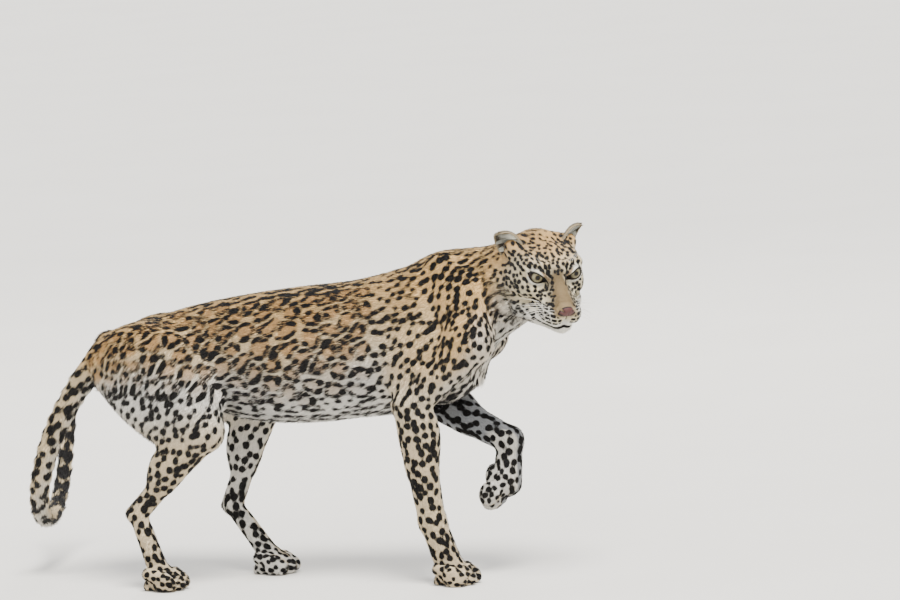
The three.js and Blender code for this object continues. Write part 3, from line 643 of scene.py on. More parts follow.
@dataclass
class Face:
    """Features drawn into the skin of the face, given in the head's own axes.

    fit() lays every line onto the skin, in the animal's millimetres.
    """

    anatomy: Anatomy
    mouth: tuple = (
        (-8, 41, -66), (4, 37, -72), (18, 31, -76), (33, 23, -77), (45, 13, -76), (51, 5, -73),
        (53, 0, -71),
    )
    mouth_width: float = 2.0
    mouth_depth: float = 3.4
    philtrum: tuple = ((66, 0, -44), (62, 0, -54), (56, 0, -68))
    whisker_rows: tuple = (-40.0, -47.0, -54.0, -61.0)
    stroke_step: float = 11.0
    depth: float = 2.6
    lids: dict = field(default_factory=lambda: {s: Lids(s) for _, s in SIDES})

    def __post_init__(self) -> None:
        """Lays the lines onto the skin."""
        right = [(f, -l, u) for f, l, u in self.mouth[:-1]]
        self.mouth_line = self.fit(curve_through([*self.mouth, *right[::-1]], 61))
        self.split_line = self.fit(curve_through(self.philtrum, 9))
        self.tears = []
        for _, s in SIDES:
            line = [self.lids[s].spot(a, b) for a, b in ((13, -6.5), (20, -11), (25, -17), (27, -25))]
            self.tears.append(self.anatomy.draw(curve_through(line, 13), np.full(13, self.depth), 5))
        self.dots = self.fit(np.array([
            (54 - 8.4 * k - 2 * row, s * (14 + 4.4 * k + row), u + 0.6 * k)
            for _, s in SIDES for row, u in enumerate(self.whisker_rows) for k in range(6)
        ]))

    def fit(self, line: Array) -> Array:
        """Points of the head's axes, laid onto the skin."""
        points = EYE_MIDPOINT + np.asarray(line, float) @ HEAD_AXES
        return self.anatomy.draw(points, np.full(len(points), self.depth), 5)

    def strokes(self, q: Array) -> Array:
        """Signed distance from the dark strokes in rows on the whisker pads.

        Args:
            q: places in the head's axes.

        Returns:
            Distance in mm, below zero inside a stroke.
        """
        f, l, u = q[:, 0], np.abs(q[:, 1]), q[:, 2]
        rows = np.array(self.whisker_rows)
        level = u - 0.04 * (50 - f)
        row = np.abs(level[:, None] - rows[None]).argmin(1)
        across = np.abs(level - rows[row]) - 2.6
        gone = 0.32 * (60 - f) + l + 2.0 * row
        along = np.abs(gone % self.stroke_step - self.stroke_step / 2) - 0.42 * self.stroke_step
        off = np.maximum.reduce([8 - l, 2 - f, f - 60, 19 - l - 1.2 * np.maximum(-44 - u, 0)])
        return np.maximum.reduce([across, along, off])

    def carve(self, points: Array, normals: Array) -> Array:
        """Presses the eye openings, the mouth and the groove under the nose into the skin.

        Args:
            points: the skin's vertices.
            normals: their outward directions.

        Returns:
            The moved vertices.
        """
        p = points.copy()
        for _, s in SIDES:
            lids = self.lids[s]
            near = np.flatnonzero(np.linalg.norm(p - eye_centre(s), axis=1) < 34)
            flat = lids.flat(p[near])
            near, flat = near[flat[:, 2] > 0], flat[flat[:, 2] > 0]
            edge = lids.edge(flat)
            across = (flat[:, :2] ** 2).sum(1)
            lid = np.sqrt(np.maximum((EYE_RADIUS + 1.4) ** 2 - across, 9.0))
            hug = ease(7.5, 0.6, edge) * 0.85
            flat[:, 2] += (lid - flat[:, 2]) * hug
            socket = np.sqrt(np.maximum((EYE_RADIUS - 2.6) ** 2 - across, 1.0))
            flat[:, 2] += (socket - flat[:, 2]) * ease(0.4, -0.8, edge)
            p[near] = eye_centre(s) + flat @ np.array([lids.inward, lids.over, lids.gaze])
        near = np.flatnonzero(np.linalg.norm(p - on_head(30, 0, -50), axis=1) < 90)
        groove = np.exp(-((line_distance(p[near], self.mouth_line) / self.mouth_width) ** 2))
        split = np.exp(-((line_distance(p[near], self.split_line) / 1.2) ** 2))
        p[near] -= normals[near] * (groove * self.mouth_depth + split * 1.6)[:, None]
        return p


def tree_of(points: Array) -> KDTree:
    """A search tree over the points, numbered in their order."""
    tree = KDTree(len(points))
    for i, p in enumerate(points):
        tree.insert(p, i)
    tree.balance()
    return tree


def noise_field(seed: int, waves: int, shortest: float, longest: float) -> Callable[[Array], Array]:
    """A smooth random field: a sum of sine waves with seeded directions and phases.

    Args:
        seed: start of the random draw.
        waves: how many waves are summed.
        shortest: shortest wavelength in mm.
        longest: longest wavelength in mm.

    Returns:
        A function from points to values of about -1 to 1.
    """
    rng = np.random.default_rng(seed)
    ways = unit(rng.normal(size=(waves, 3)))
    ways *= (2 * math.pi / rng.uniform(shortest, longest, waves))[:, None]
    phases = rng.uniform(0, 2 * math.pi, waves)
    return lambda points: np.sin(points @ ways.T + phases).sum(1) / math.sqrt(waves)


@dataclass
class Markings:
    """Black spots and rosettes, laid on the skin in a seeded even scatter."""

    anatomy: Anatomy
    face: Face
    seed: int = 7
    rosette_gap: float = 31.0
    rosette_reach: float = 22.0
    seam: float = 2.8
    band: float = 8.0
    swell: float = 0.8
    filler: tuple = (5.2, 4.2, 10.0)
    blots: Array = field(default_factory=lambda: np.zeros((0, 12)))
    rosettes: Array = field(default_factory=lambda: np.zeros((0, 21)))

    def height_share(self, points: Array) -> Array:
        """How high a point lies between the belly line and the back line."""
        top, bottom, _ = self.anatomy.trunk.sections(points[:, 0]).T
        return (points[:, 2] - bottom) / (top - bottom)

    def layout(self, p: Array, coat: dict[str, Array]) -> dict[str, Array]:
        """Spacing, half-length and half-width of the marks, and where rosettes go.

        Args:
            p: places on the skin.
            coat: the coat's regions there.

        Returns:
            "gap", "long", "wide" in mm, and "rosette" and "plain" from 0 to 1.
        """
        q = in_head(p)
        f, l, u = q[:, 0], np.abs(q[:, 1]), q[:, 2]
        up = self.height_share(p)
        body = coat["TRUNK"] + coat["THIGH"] * ease(250, 300, p[:, 2])
        rosette = ease(70, 20, p[:, 0]) * body * ease(0.15, 0.23, up) * ease(0.94, 0.9, up)
        sizes = {
            "TRUNK": (12.8, 5.4, 5.0), "THIGH": (12.0, 5.1, 4.7), "SHOULDER": (11.4, 4.9, 4.7),
            "NECK": (9.2, 3.7, 3.4), "FOREARM": (12.2, 5.7, 5.2), "SHANK": (12.8, 5.9, 5.2),
            "PAW": (10.0, 4.2, 3.7), "TAIL": (16.0, 7.4, 6.6), "HEAD": (7.4, 3.1, 2.8),
        }
        gap, long, wide = (sum(coat[k] * v[i] for k, v in sizes.items()) for i in range(3))
        belly = coat["TRUNK"] * ease(0.14, 0.0, up)
        gap, long, wide = gap + 6 * belly, long + 4.5 * belly, wide + 2.5 * belly
        spine = coat["TRUNK"] * ease(0.82, 0.9, up) * ease(60, 0, p[:, 0])
        gap, long, wide = gap + 2.5 * spine, long + 2.8 * spine, wide + 0.4 * spine
        cheek = coat["HEAD"] * ease(28, 40, l) * ease(-8, -22, f)
        gap, long, wide = gap + 1.6 * cheek, long + 0.5 * cheek, wide + 0.4 * cheek
        side = coat["HEAD"] * ease(-6, 6, f)
        gap, long, wide = gap - 0.8 * side, long - 0.8 * side, wide - 0.4 * side
        blade = coat["SHOULDER"] * ease(470, 520, p[:, 2])
        gap, long, wide = gap + 2.0 * blade, long + 1.5 * blade, wide + 1.2 * blade
        small = 9 * ease(0.8, 0.95, up) + 6 * ease(-330, -420, p[:, 0])
        gap = np.where(rosette > 0.5, self.rosette_gap - small, gap)
        plain = coat["HEAD"] * np.maximum.reduce([
            ease(9, 6, l - 9 * ease(4, 45, f)) * ease(4, 11, f),
            ease(0, 6, f) * ease(-34, -38, u),
            ease(-70, -76, u) * ease(-10, 4, f),
        ])
        for _, s in SIDES:
            flat = self.face.lids[s].flat(p)
            edge = self.face.lids[s].edge(flat)
            plain = np.maximum(plain, (flat[:, 2] > 0) * ease(7.5, 5.5, edge))
        return {"gap": gap, "long": long, "wide": wide, "rosette": rosette, "plain": plain}

    def scatter(self, p: Array, gap: Array, rng: np.random.Generator) -> Array:
        """Numbers of points kept so that none lies nearer to another than its gap."""
        order = rng.permutation(len(p))
        kept = np.zeros((6000, 3))
        reach = np.zeros(6000)
        chosen: list[int] = []
        for i in order:
            n = len(chosen)
            near = ((kept[:n] - p[i]) ** 2).sum(1) < np.minimum(reach[:n], gap[i]) ** 2
            if near.any() or n >= 6000:
                continue
            kept[n], reach[n] = p[i], gap[i]
            chosen.append(int(i))
        return np.array(chosen, int)

    def lay_out(self, points: Array, normals: Array, coat: dict[str, Array]) -> None:
        """Places every mark.

        Args:
            points: an even spread of places on the skin.
            normals: outward directions there.
            coat: the coat's regions and lay there.
        """
        rng = np.random.default_rng(self.seed)
        plan = self.layout(points, coat)
        free = (plan["plain"] < 0.5) & (rng.random(len(points)) < 0.9)
        i = np.flatnonzero(free)
        i = i[self.scatter(points[i], plan["gap"][i] * 0.93, rng)]
        rosy = plan["rosette"] > 0.5
        ring = self.relax(points, i[rosy[i]], np.flatnonzero(free & rosy))
        self.rosettes = self.rings(points[ring], normals[ring], coat["lay"][ring], rng)
        outside = free & ~rosy & self.clear(points, self.rosette_reach - 1)
        alone = self.relax(points, i[outside[i]], np.flatnonzero(outside))
        self.blots = np.vstack([self.bands(), self.spots(
            points[alone], normals[alone], coat["lay"][alone], plan["long"][alone], plan["wide"][alone], rng,
        )])
        j = self.between(points, np.flatnonzero(free & (plan["rosette"] > 0.5)), rng)
        long, wide, _ = self.filler
        self.blots = np.vstack([self.blots, self.spots(
            points[j], normals[j], coat["lay"][j], np.full(len(j), long), np.full(len(j), wide), rng,
        )])
        LOG.info("marks: %d spots, %d rosettes", len(self.blots), len(self.rosettes))

    def relax(self, points: Array, marks: Array, region: Array, rounds: int = 3) -> Array:
        """Evens out marks: each moves to the middle of the places nearest to it, a few times.

        Args:
            points: places on the skin.
            marks: numbers of the points that carry a mark.
            region: numbers of the points that the marks share out between them.
            rounds: how many times they move.

        Returns:
            Numbers of the points that carry a mark afterwards.
        """
        home = tree_of(points[region])
        for _ in range(rounds):
            tree = tree_of(points[marks])
            owner = np.array([tree.find(p)[1] for p in points[region]])
            total = np.zeros((len(marks), 3))
            np.add.at(total, owner, points[region])
            number = np.maximum(np.bincount(owner, minlength=len(marks)), 1)[:, None]
            middle = np.where(number > 2, total / number, points[marks])
            marks = region[[home.find(p)[1] for p in middle]]
        return np.unique(marks)

    def clear(self, p: Array, space: float) -> Array:
        """Whether each point keeps this distance from the middle of every rosette."""
        out = np.ones(len(p), bool)
        for row in self.rosettes:
            out &= ((p - row[:3]) ** 2).sum(1) > space**2
        return out

    def between(self, points: Array, open_ones: Array, rng: np.random.Generator) -> Array:
        """Numbers of points that lie clear of every rosette, for single spots between them."""
        space = self.filler[2]
        p = points[open_ones]
        clear = self.clear(p, self.rosette_reach + 4)
        for row in self.blots:
            clear &= ((p - row[:3]) ** 2).sum(1) > (space + 0.35 * row[9]) ** 2
        left = open_ones[clear]
        return left[self.scatter(points[left], np.full(len(left), space * 1.25), rng)]

    def spots(self, p: Array, n: Array, lay: Array, long: Array, wide: Array,
              rng: np.random.Generator) -> Array:
        """Single spots, longer along the lay of the hair, each turned and sized a little by chance."""
        turn = rng.normal(0, 0.6, len(p))
        a = unit(lay - (lay * n).sum(1)[:, None] * n)
        b = np.cross(n, a)
        along = a * np.cos(turn)[:, None] + b * np.sin(turn)[:, None]
        size = rng.uniform(0.85, 1.15, len(p))
        return np.column_stack([
            p, along, n, long * size * rng.uniform(0.9, 1.1, len(p)), wide * size,
            np.full(len(p), 16.0),
        ])

    def rings(self, p: Array, n: Array, lay: Array, rng: np.random.Generator) -> Array:
        """Rosettes: middle, two directions on the skin, and six breaks as angles and half-widths."""
        a = unit(lay - (lay * n).sum(1)[:, None] * n)
        b = np.cross(n, a)
        count = rng.integers(4, 6, len(p))[:, None]
        number = np.arange(6)[None] % count
        size = (len(p), 6)
        angle = 2 * math.pi * (number + rng.uniform(-0.14, 0.14, size)) / count
        half = rng.uniform(1.6, 2.4, size)
        half[:, 0] += rng.choice([0, 1.5, 4.0], len(p))
        return np.hstack([p, a, b, angle + rng.uniform(0, 6.28, (len(p), 1)), half])

    def cells(self, points: Array) -> tuple[Array, Array]:
        """The rosettes' rings and hearts.

        Each rosette fills the space nearer to it than to any other, less a pale seam, so
        neighbours fit together. How far a point lies inside its cell is
        (far^2 - near^2) / (2 apart), with near and far its distances from the nearest two
        middles and apart the distance between those, or what is left of the full reach.

        Args:
            points: places on the skin or the coat.

        Returns:
            Signed distance from the rings' edges, and how much each place is in a heart.
        """
        warp = np.stack([noise_field(62 + k, 5, 22, 60)(points) for k in range(3)], axis=1)
        p = points + 3.2 * warp
        order = np.argsort(p[:, 0])
        p = p[order]
        near, far = np.full(len(p), 90.0), np.full(len(p), 90.0)
        own, other = np.zeros(len(p), int), np.zeros(len(p), int)
        for k, row in enumerate(self.rosettes):
            i, j = np.searchsorted(p[:, 0], (row[0] - 48, row[0] + 48))
            d = np.linalg.norm(p[i:j] - row[:3], axis=1)
            first = d < near[i:j]
            second = ~first & (d < far[i:j])
            far[i:j] = np.where(first, near[i:j], np.where(second, d, far[i:j]))
            other[i:j] = np.where(first, own[i:j], np.where(second, k, other[i:j]))
            near[i:j] = np.where(first, d, near[i:j])
            own[i:j] = np.where(first, k, own[i:j])
        mine, theirs = self.rosettes[own], self.rosettes[other]
        apart = np.maximum(np.linalg.norm(mine[:, :3] - theirs[:, :3], axis=1), 1.0)
        inside = np.where(far < 80, (far**2 - near**2) / (2 * apart), 90.0)
        inside = np.minimum(inside, self.rosette_reach - near)
        band = self.band * (1 + 0.22 * noise_field(61, 5, 16, 40)(p))
        ink = np.abs(inside - self.seam - band / 2) - band / 2
        offset = p - mine[:, :3]
        turn = np.arctan2((offset * mine[:, 6:9]).sum(1), (offset * mine[:, 3:6]).sum(1))
        for k in range(6):
            swing = turn - mine[:, 9 + k]
            aside = np.where(np.cos(swing) > 0, near * np.abs(np.sin(swing)), near)
            ink = np.maximum(ink, mine[:, 15 + k] - aside)
        ink_out, heart = np.empty(len(p)), np.empty(len(p))
        ink_out[order] = np.where(near < 40, ink, 9.0)
        heart[order] = np.where(near < 40, ease(2.5, 5.5, inside), 0.0)
        return ink_out, heart

    def bands(self) -> Array:
        """Broken dark rings round the last third of the tail, and a dark tip."""
        line = self.anatomy.tail_line(101)
        rows = []
        for share in (70, 75, 80, 85, 90, 94, 97, 99):
            way = unit(line[min(share + 1, 100)] - line[share - 1])
            side = unit(np.cross(way, (0, 1, 0.3)))
            other = np.cross(way, side)
            for k in range(5):
                angle = 2 * math.pi * (k + 0.3 * (share % 2)) / 5
                out = side * math.cos(angle) + other * math.sin(angle)
                reach = 12.0 if k == 2 and share < 90 else 15.0
                rows.append(np.concatenate([
                    line[share] + out * 17, np.cross(way, out), out, [reach * 0.8, 8.5, 14.0],
                ]))
        return np.array(rows)

    def ink(self, points: Array) -> Array:
        """Signed distance in mm from the edge of the nearest mark, below zero inside it.

        Each mark is an ellipsoid: its value is its half-width times the length of the
        offset over its half-sizes, less one. A smooth random warp makes the edges uneven.
        """
        warp = np.stack([noise_field(s, 5, 9, 24)(points) for s in (31, 32, 33)], axis=1) * 1.1
        p = points + warp
        order = np.argsort(p[:, 0])
        sorted_p = p[order]
        best = np.full(len(p), 9.0)
        reach = self.blots[:, 9] + 9
        first = np.searchsorted(sorted_p[:, 0], self.blots[:, 0] - reach)
        last = np.searchsorted(sorted_p[:, 0], self.blots[:, 0] + reach)
        for row, i, j in zip(self.blots, first, last):
            if i == j:
                continue
            q = sorted_p[i:j] - row[:3]
            k = np.flatnonzero((q * q).sum(1) < (row[9] + 9) ** 2)
            q = q[k]
            x, z = q @ row[3:6], q @ row[6:9]
            y2 = np.maximum((q * q).sum(1) - x * x - z * z, 0)
            value = (np.sqrt((x / row[9]) ** 2 + y2 / row[10] ** 2 + (z / row[11]) ** 2) - 1) * row[10]
            best[i + k] = np.minimum(best[i + k], value)
        out = np.empty(len(p))
        out[order] = best
        out = np.minimum(out, self.cells(points)[0]) - self.swell
        return self.face_ink(points, out)

    def face_ink(self, points: Array, ink: Array) -> Array:
        """Adds the dark lines of the face: lid rims, tear marks, the mouth and whisker strokes."""
        near = np.flatnonzero(np.linalg.norm(points - on_head(0, 0, -20), axis=1) < 110)
        p = points[near]
        face = self.face
        marks = [line_distance(p, face.mouth_line) - 2.5, line_distance(p, face.split_line) - 1.1]
        marks += [line_distance(p, tear) - 1.7 for tear in face.tears]
        for _, s in SIDES:
            flat = face.lids[s].flat(p)
            edge = face.lids[s].edge(flat)
            marks.append(np.where(flat[:, 2] > 0, edge - face.lids[s].rim(flat), 9.0))
        marks.append(face.strokes(in_head(p)))
        ink[near] = np.minimum(ink[near], np.minimum.reduce(marks))
        return ink

    def ground(self, points: Array, normals: Array, coat: dict[str, Array]) -> Array:
        """Colour of the coat between the marks, from the back down to the belly and feet.

        Args:
            points: places on the skin.
            normals: outward directions there.
            coat: the coat's regions there.

        Returns:
            Linear colours, one row a point.
        """
        buff, cream, white = paint(222, 184, 124), paint(228, 208, 170), paint(232, 229, 222)
        heart, painted_shade = paint(186, 140, 84), paint(152, 155, 160)
        up = self.height_share(points) + 0.05 * noise_field(51, 6, 60, 140)(points)
        colour = blend(buff[None], cream[None], ease(0.95, 0.45, up))
        trunk = coat["TRUNK"] + coat["THIGH"] * ease(200, 330, points[:, 2])
        colour = blend(colour, white[None], ease(0.62, 0.18, up) * trunk)
        inner = np.sign(points[:, 1]) * normals[:, 1]
        limb = coat["FOREARM"] + coat["SHANK"] + coat["PAW"]
        low = coat["SHOULDER"] * ease(400, 300, points[:, 2]) * 0.45
        colour = blend(colour, buff[None], coat["SHOULDER"] * ease(300, 420, points[:, 2]) * 0.8)
        pale = np.clip(limb * (0.12 + 0.8 * ease(0.2, -0.5, inner)) + low, 0, 1)
        colour = blend(colour, white[None], pale)
        # Painted shade: the lifted foreleg is blended towards a cool grey, as if it lay in shadow.
        lifted_leg_shade = limb * ease(30, 34, points[:, 1]) * ease(30, 60, points[:, 0])
        colour = blend(colour, painted_shade[None], lifted_leg_shade * 0.9)
        throat = ease(0.1, -0.55, normals[:, 2]) * ease(200, 240, points[:, 0])
        chest = ease(0.15, 0.65, normals[:, 0]) * ease(480, 420, points[:, 2])
        under = np.maximum(throat, chest * ease(150, 190, points[:, 0]))
        colour = blend(colour, buff[None], coat["NECK"] * (1 - under) * 0.8)
        colour = blend(colour, white[None], (coat["NECK"] + 0.7 * coat["SHOULDER"]) * under * 0.95)
        colour = blend(colour, white[None], coat["TAIL"] * ease(-0.1, -0.8, normals[:, 2]) * 0.8)
        warm = self.cells(points)[1]
        colour = blend(colour, heart[None], warm * (0.1 + 0.6 * ease(0.1, 0.6, up)))
        return blend(colour, self.face_ground(points), coat["HEAD"])

    def face_ground(self, points: Array) -> Array:
        """Colour of the face: warm crown, plain bridge, white lids, muzzle, jaw and chin."""
        q = in_head(points)
        f, l, u = q[:, 0], np.abs(q[:, 1]), q[:, 2]
        crown, cheek = paint(212, 172, 112), paint(232, 219, 186)
        bridge, white = paint(132, 112, 80), paint(240, 237, 226)
        colour = blend(cheek[None], crown[None], ease(10, 36, u))
        colour = blend(colour, crown[None], ease(-50, -95, f) * ease(-40, -5, u) * 0.8)
        sides = 13 + 7 * ease(-4, 45, f)
        top = blend((bridge * 0.72)[None], bridge[None], ease(6, 26, f))
        soft = l - sides + 3 * noise_field(71, 6, 9, 30)(points)
        colour = blend(colour, top, ease(15, -7, soft) * ease(-16, 8, f) * ease(-54, -44, u))
        colour = blend(colour, white[None], ease(-52, -66, u) * ease(-120, -60, f))
        muzzle = ease(0, 6, l - sides) * ease(4, 18, f) * ease(-30, -42, u)
        colour = blend(colour, white[None], muzzle * 0.8)
        stripe = paint(132, 100, 64)
        for s in (-1, 1):
            lids = self.face.lids[s]
            flat = lids.flat(points)
            edge = lids.edge(flat)
            front = flat[:, 2] > 0
            around = ease(9, 4, edge) * front * ease(14, 6, flat[:, 0])
            colour = blend(colour, white[None], around * 0.8)
            brow = line_distance(points, np.array([lids.spot(19, -3), lids.spot(13, 7), lids.spot(5, 17)]))
            colour = blend(colour, stripe[None], ease(4.5, 2, brow) * front * 0.75)
        return colour


class Socket:
    """A shader value that takes part in Python expressions, each adding its own node."""

    def __init__(self, nodes: "Shader", link: bpy.types.NodeSocket) -> None:
        """Wraps an output socket of a shader."""
        self.nodes = nodes
        self.link = link

    def _math(self, kind: str, a: "Socket | float", b: "Socket | float") -> "Socket":
        """One Math node of this kind on two values."""
        return self.nodes.add("ShaderNodeMath", {"operation": kind}, {0: a, 1: b})

    def __add__(self, other: "Socket | float") -> "Socket":
        """Sum."""
        return self._math("ADD", self, other)

    def __sub__(self, other: "Socket | float") -> "Socket":
        """Difference."""
        return self._math("SUBTRACT", self, other)

    def __mul__(self, other: "Socket | float") -> "Socket":
        """Product."""
        return self._math("MULTIPLY", self, other)

    def __rsub__(self, other: float) -> "Socket":
        """A number less this."""
        return self._math("SUBTRACT", other, self)

    __radd__ = __add__
    __rmul__ = __mul__

    def ease(self, low: float, high: float) -> "Socket":
        """0 at low, 1 at high, smooth between."""
        return self.nodes.add(
            "ShaderNodeMapRange", {"interpolation_type": "SMOOTHSTEP"},
            {"Value": self, "From Min": low, "From Max": high, "To Min": 0.0, "To Max": 1.0},
        )


class Shader:
    """One material and the nodes in it."""

    def __init__(self, name: str) -> None:
        """Starts a material with a single surface shader."""
        self.material = bpy.data.materials.new(name)
        self.material.use_nodes = True
        self.tree = self.material.node_tree
        self.tree.nodes.clear()
        self.out = self.tree.nodes.new("ShaderNodeOutputMaterial")

    def add(self, kind: str, settings: dict | None = None, values: dict | None = None,
            output: int | str = 0) -> Socket:
        """Adds a node.

        Args:
            kind: the node's type.
            settings: its properties, set first.
            values: numbers, colours or sockets for its inputs, by name or place.
            output: which output to return.

        Returns:
            The output, ready for expressions.
        """
        node = self.tree.nodes.new(kind)
        for key, value in (settings or {}).items():
            if key == "stops":
                self._stops(node.color_ramp, value)
            else:
                setattr(node, key, value)
        for key, value in (values or {}).items():
            if isinstance(value, Socket):
                self.tree.links.new(value.link, node.inputs[key])
            else:
                node.inputs[key].default_value = value
        return Socket(self, node.outputs[output])

    @staticmethod
    def _stops(ramp: bpy.types.ColorRamp, stops: Sequence[tuple[float, Array]]) -> None:
        """Sets a ramp's places and colours; the first and last stand at its two ends."""
        ramp.elements[0].color = (*stops[0][1], 1)
        ramp.elements[-1].color = (*stops[-1][1], 1)
        for place, colour in stops[1:-1]:
            ramp.elements.new(place).color = (*colour, 1)

    def attribute(self, name: str, output: str = "Fac") -> Socket:
        """A value kept on the mesh."""
        return self.add("ShaderNodeAttribute", {"attribute_name": name}, output=output)

    def place(self) -> Socket:
        """The place on the object, in metres."""
        return self.add("ShaderNodeTexCoord", output="Object")

    def noise(self, scale: float, detail: float = 2.0) -> Socket:
        """Smooth noise from 0 to 1, with this many waves a metre."""
        return self.add(
            "ShaderNodeTexNoise", None,
            {"Vector": self.place(), "Scale": scale, "Detail": detail},
        )

    def mix(self, mask: "Socket | float", a: "Socket | tuple", b: "Socket | tuple",
            kind: str = "MIX") -> Socket:
        """Two colours, mixed by a mask."""
        node = self.tree.nodes.new("ShaderNodeMix")
        node.data_type = "RGBA"
        node.blend_type = kind
        for place, value in ((0, mask), (6, a), (7, b)):
            if isinstance(value, Socket):
                self.tree.links.new(value.link, node.inputs[place])
            else:
                node.inputs[place].default_value = value
        return Socket(self, node.outputs[2])

    def surface(self, values: dict) -> bpy.types.Material:
        """Ends the material with its surface shader and returns it."""
        shader = self.add("ShaderNodeBsdfPrincipled", None, values)
        self.tree.links.new(shader.link, self.out.inputs["Surface"])
        return self.material


def rgba(colour: Array) -> tuple[float, float, float, float]:
    """A colour with full cover."""
    return (*map(float, colour), 1.0)


@dataclass(frozen=True)
class PeltFinish:
    """Short fur: the ground colour and marks that the mesh carries, with fine variation."""

    ink_colour: tuple = (0.0042, 0.0032, 0.0028)
    edge: float = 0.8
    bump: float = 0.0

    def material(self, name: str) -> bpy.types.Material:
        """Makes the material."""
        s = Shader(name)
        grain = s.noise(420, 3)
        broad = s.noise(26, 2)
        ground = s.attribute("ground", "Color")
        tone = grain * 0.34 + broad * 0.22 + 0.72
        shaded = s.mix(1.0, ground, s.add("ShaderNodeCombineColor", None, {0: tone, 1: tone, 2: tone}),
                       "MULTIPLY")
        ink = s.attribute("mark") + (grain - 0.5) * 0.9
        colour = s.mix(ink.ease(self.edge, -self.edge), shaded, (*self.ink_colour, 1.0))
        values = {
            "Base Color": colour, "Roughness": grain * 0.25 + 0.55, "Sheen Weight": 0.04,
            "Sheen Roughness": 0.45, "Specular IOR Level": 0.22,
        }
        if self.bump:
            values["Normal"] = s.add(
                "ShaderNodeBump", None,
                {"Strength": self.bump, "Distance": 0.001, "Height": s.noise(900, 2)},
            )
        return s.surface(values)


@dataclass(frozen=True)
class EyeFinish:
    """A wet eye: pupil, streaked iris with a dark edge, and a brown-white ball."""

    pupil: float = 0.25
    iris: float = 0.72

    def material(self, name: str) -> bpy.types.Material:
        """Makes the material from how far a place is from the gaze."""
        s = Shader(name)
        off = s.attribute("off_gaze")
        streak = s.attribute("streak")
        ramp = s.add("ShaderNodeValToRGB", {"stops": (
            (0.0, paint(5, 4, 3)), (self.pupil - 0.02, paint(5, 4, 3)),
            (self.pupil + 0.02, paint(76, 68, 46)), (self.pupil + 0.14, paint(118, 112, 88)),
            (self.iris - 0.16, paint(108, 102, 82)), (self.iris - 0.04, paint(44, 39, 29)),
            (self.iris + 0.02, paint(16, 12, 9)), (1.0, paint(58, 44, 34)),
        )}, {"Fac": off})
        tone = streak * 0.5 + s.noise(700, 2) * 0.3 + 0.55
        colour = s.mix(1.0, ramp, s.add("ShaderNodeCombineColor", None, {0: tone, 1: tone, 2: tone}),
                       "MULTIPLY")
        return s.surface({
            "Base Color": colour, "Roughness": 0.7, "Coat Weight": 0.4, "Coat Roughness": 0.03,
            "Specular IOR Level": 0.0,
        })


@dataclass(frozen=True)
class NoseFinish:
    """Bare moist skin: brick pink, darker at its rim, with a fine pebbled grain and painted shade in the
    nostrils.
    """

    def material(self, name: str) -> bpy.types.Material:
        """Makes the material."""
        s = Shader(name)
        pebble = s.add("ShaderNodeTexVoronoi", {"feature": "F1"},
                       {"Vector": s.place(), "Scale": 900.0})
        rim = s.attribute("rim")
        colour = s.mix(s.noise(160, 3), rgba(paint(62, 34, 32)), rgba(paint(84, 48, 45)))
        colour = s.mix(rim.ease(0.8, 0.98), colour, rgba(paint(30, 20, 18)))
        # Painted shade: the nostrils are darkened nearly to black, standing in for the depth of their
        # openings.
        colour = s.mix(s.attribute("pit"), colour, rgba(paint(16, 9, 8)))
        bump = s.add("ShaderNodeBump", None, {"Strength": 0.5, "Distance": 0.0006, "Height": pebble})
        return s.surface({
            "Base Color": colour, "Roughness": pebble * 0.25 + 0.34, "Normal": bump,
            "Specular IOR Level": 0.3,
        })


@dataclass(frozen=True)
class HairFinish:
    """Pale single hairs, such as whiskers, a little darker in places at random."""

    colour: tuple = (236, 230, 218)

    def material(self, name: str) -> bpy.types.Material:
        """Makes the material."""
        s = Shader(name)
        tone = s.noise(300, 2)
        colour = s.mix(tone, rgba(paint(*self.colour)), rgba(paint(*self.colour) * 0.72))
        return s.surface({"Base Color": colour, "Roughness": tone * 0.2 + 0.3})


@dataclass(frozen=True)
class FloorFinish:
    """A plain pale studio floor with the faintest mottling."""

    def material(self, name: str) -> bpy.types.Material:
        """Makes the material."""
        s = Shader(name)
        tone = s.noise(3, 3)
        colour = s.mix(tone, rgba(paint(226, 222, 214)), rgba(paint(232, 229, 222)))
        return s.surface({"Base Color": colour, "Roughness": tone * 0.1 + 0.75})


@dataclass
class Frame:
    """Carries points from the animal's own millimetres into the frame's metres."""

    offset: Array = field(default_factory=lambda: np.zeros(3))

    def find(self) -> None:
        """Reads the shift off the right eye, whose place is known in both."""
        low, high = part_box("eye_right")
        middle = (np.array(low) + np.array(high)) / 2
        self.offset = middle / MM - eye_centre(-1)
        LOG.info("shift %s mm", np.round(self.offset, 3))

    def out(self, points: Array) -> Array:
        """Animal millimetres to frame metres."""
        return (points + self.offset) * MM

    def back(self, points: Array) -> Array:
        """Frame metres to animal millimetres."""
        return points / MM - self.offset


def make_mesh(name: str, points: Array, faces: Array, smooth: bool = True) -> bpy.types.Object:
    """Puts points and faces, all of one corner count, into a new object.

    Args:
        name: the object's name.
        points: frame metres, one row a vertex.
        faces: rows of vertex numbers.
        smooth: whether the faces are shaded smooth.

    Returns:
        The object, linked into the scene.
    """
    mesh = bpy.data.meshes.new(name)
    faces = np.asarray(faces, np.int32)
    count, corners = faces.shape
    mesh.vertices.add(len(points))
    mesh.vertices.foreach_set("co", np.asarray(points, np.float32).ravel())
    mesh.loops.add(count * corners)
    mesh.loops.foreach_set("vertex_index", faces.ravel())
    mesh.polygons.add(count)
    mesh.polygons.foreach_set("loop_start", np.arange(0, count * corners, corners, dtype=np.int32))
    mesh.update(calc_edges=True)
    mesh.polygons.foreach_set("use_smooth", np.full(count, smooth))
    obj = bpy.data.objects.new(name, mesh)
    bpy.context.scene.collection.objects.link(obj)
    return obj


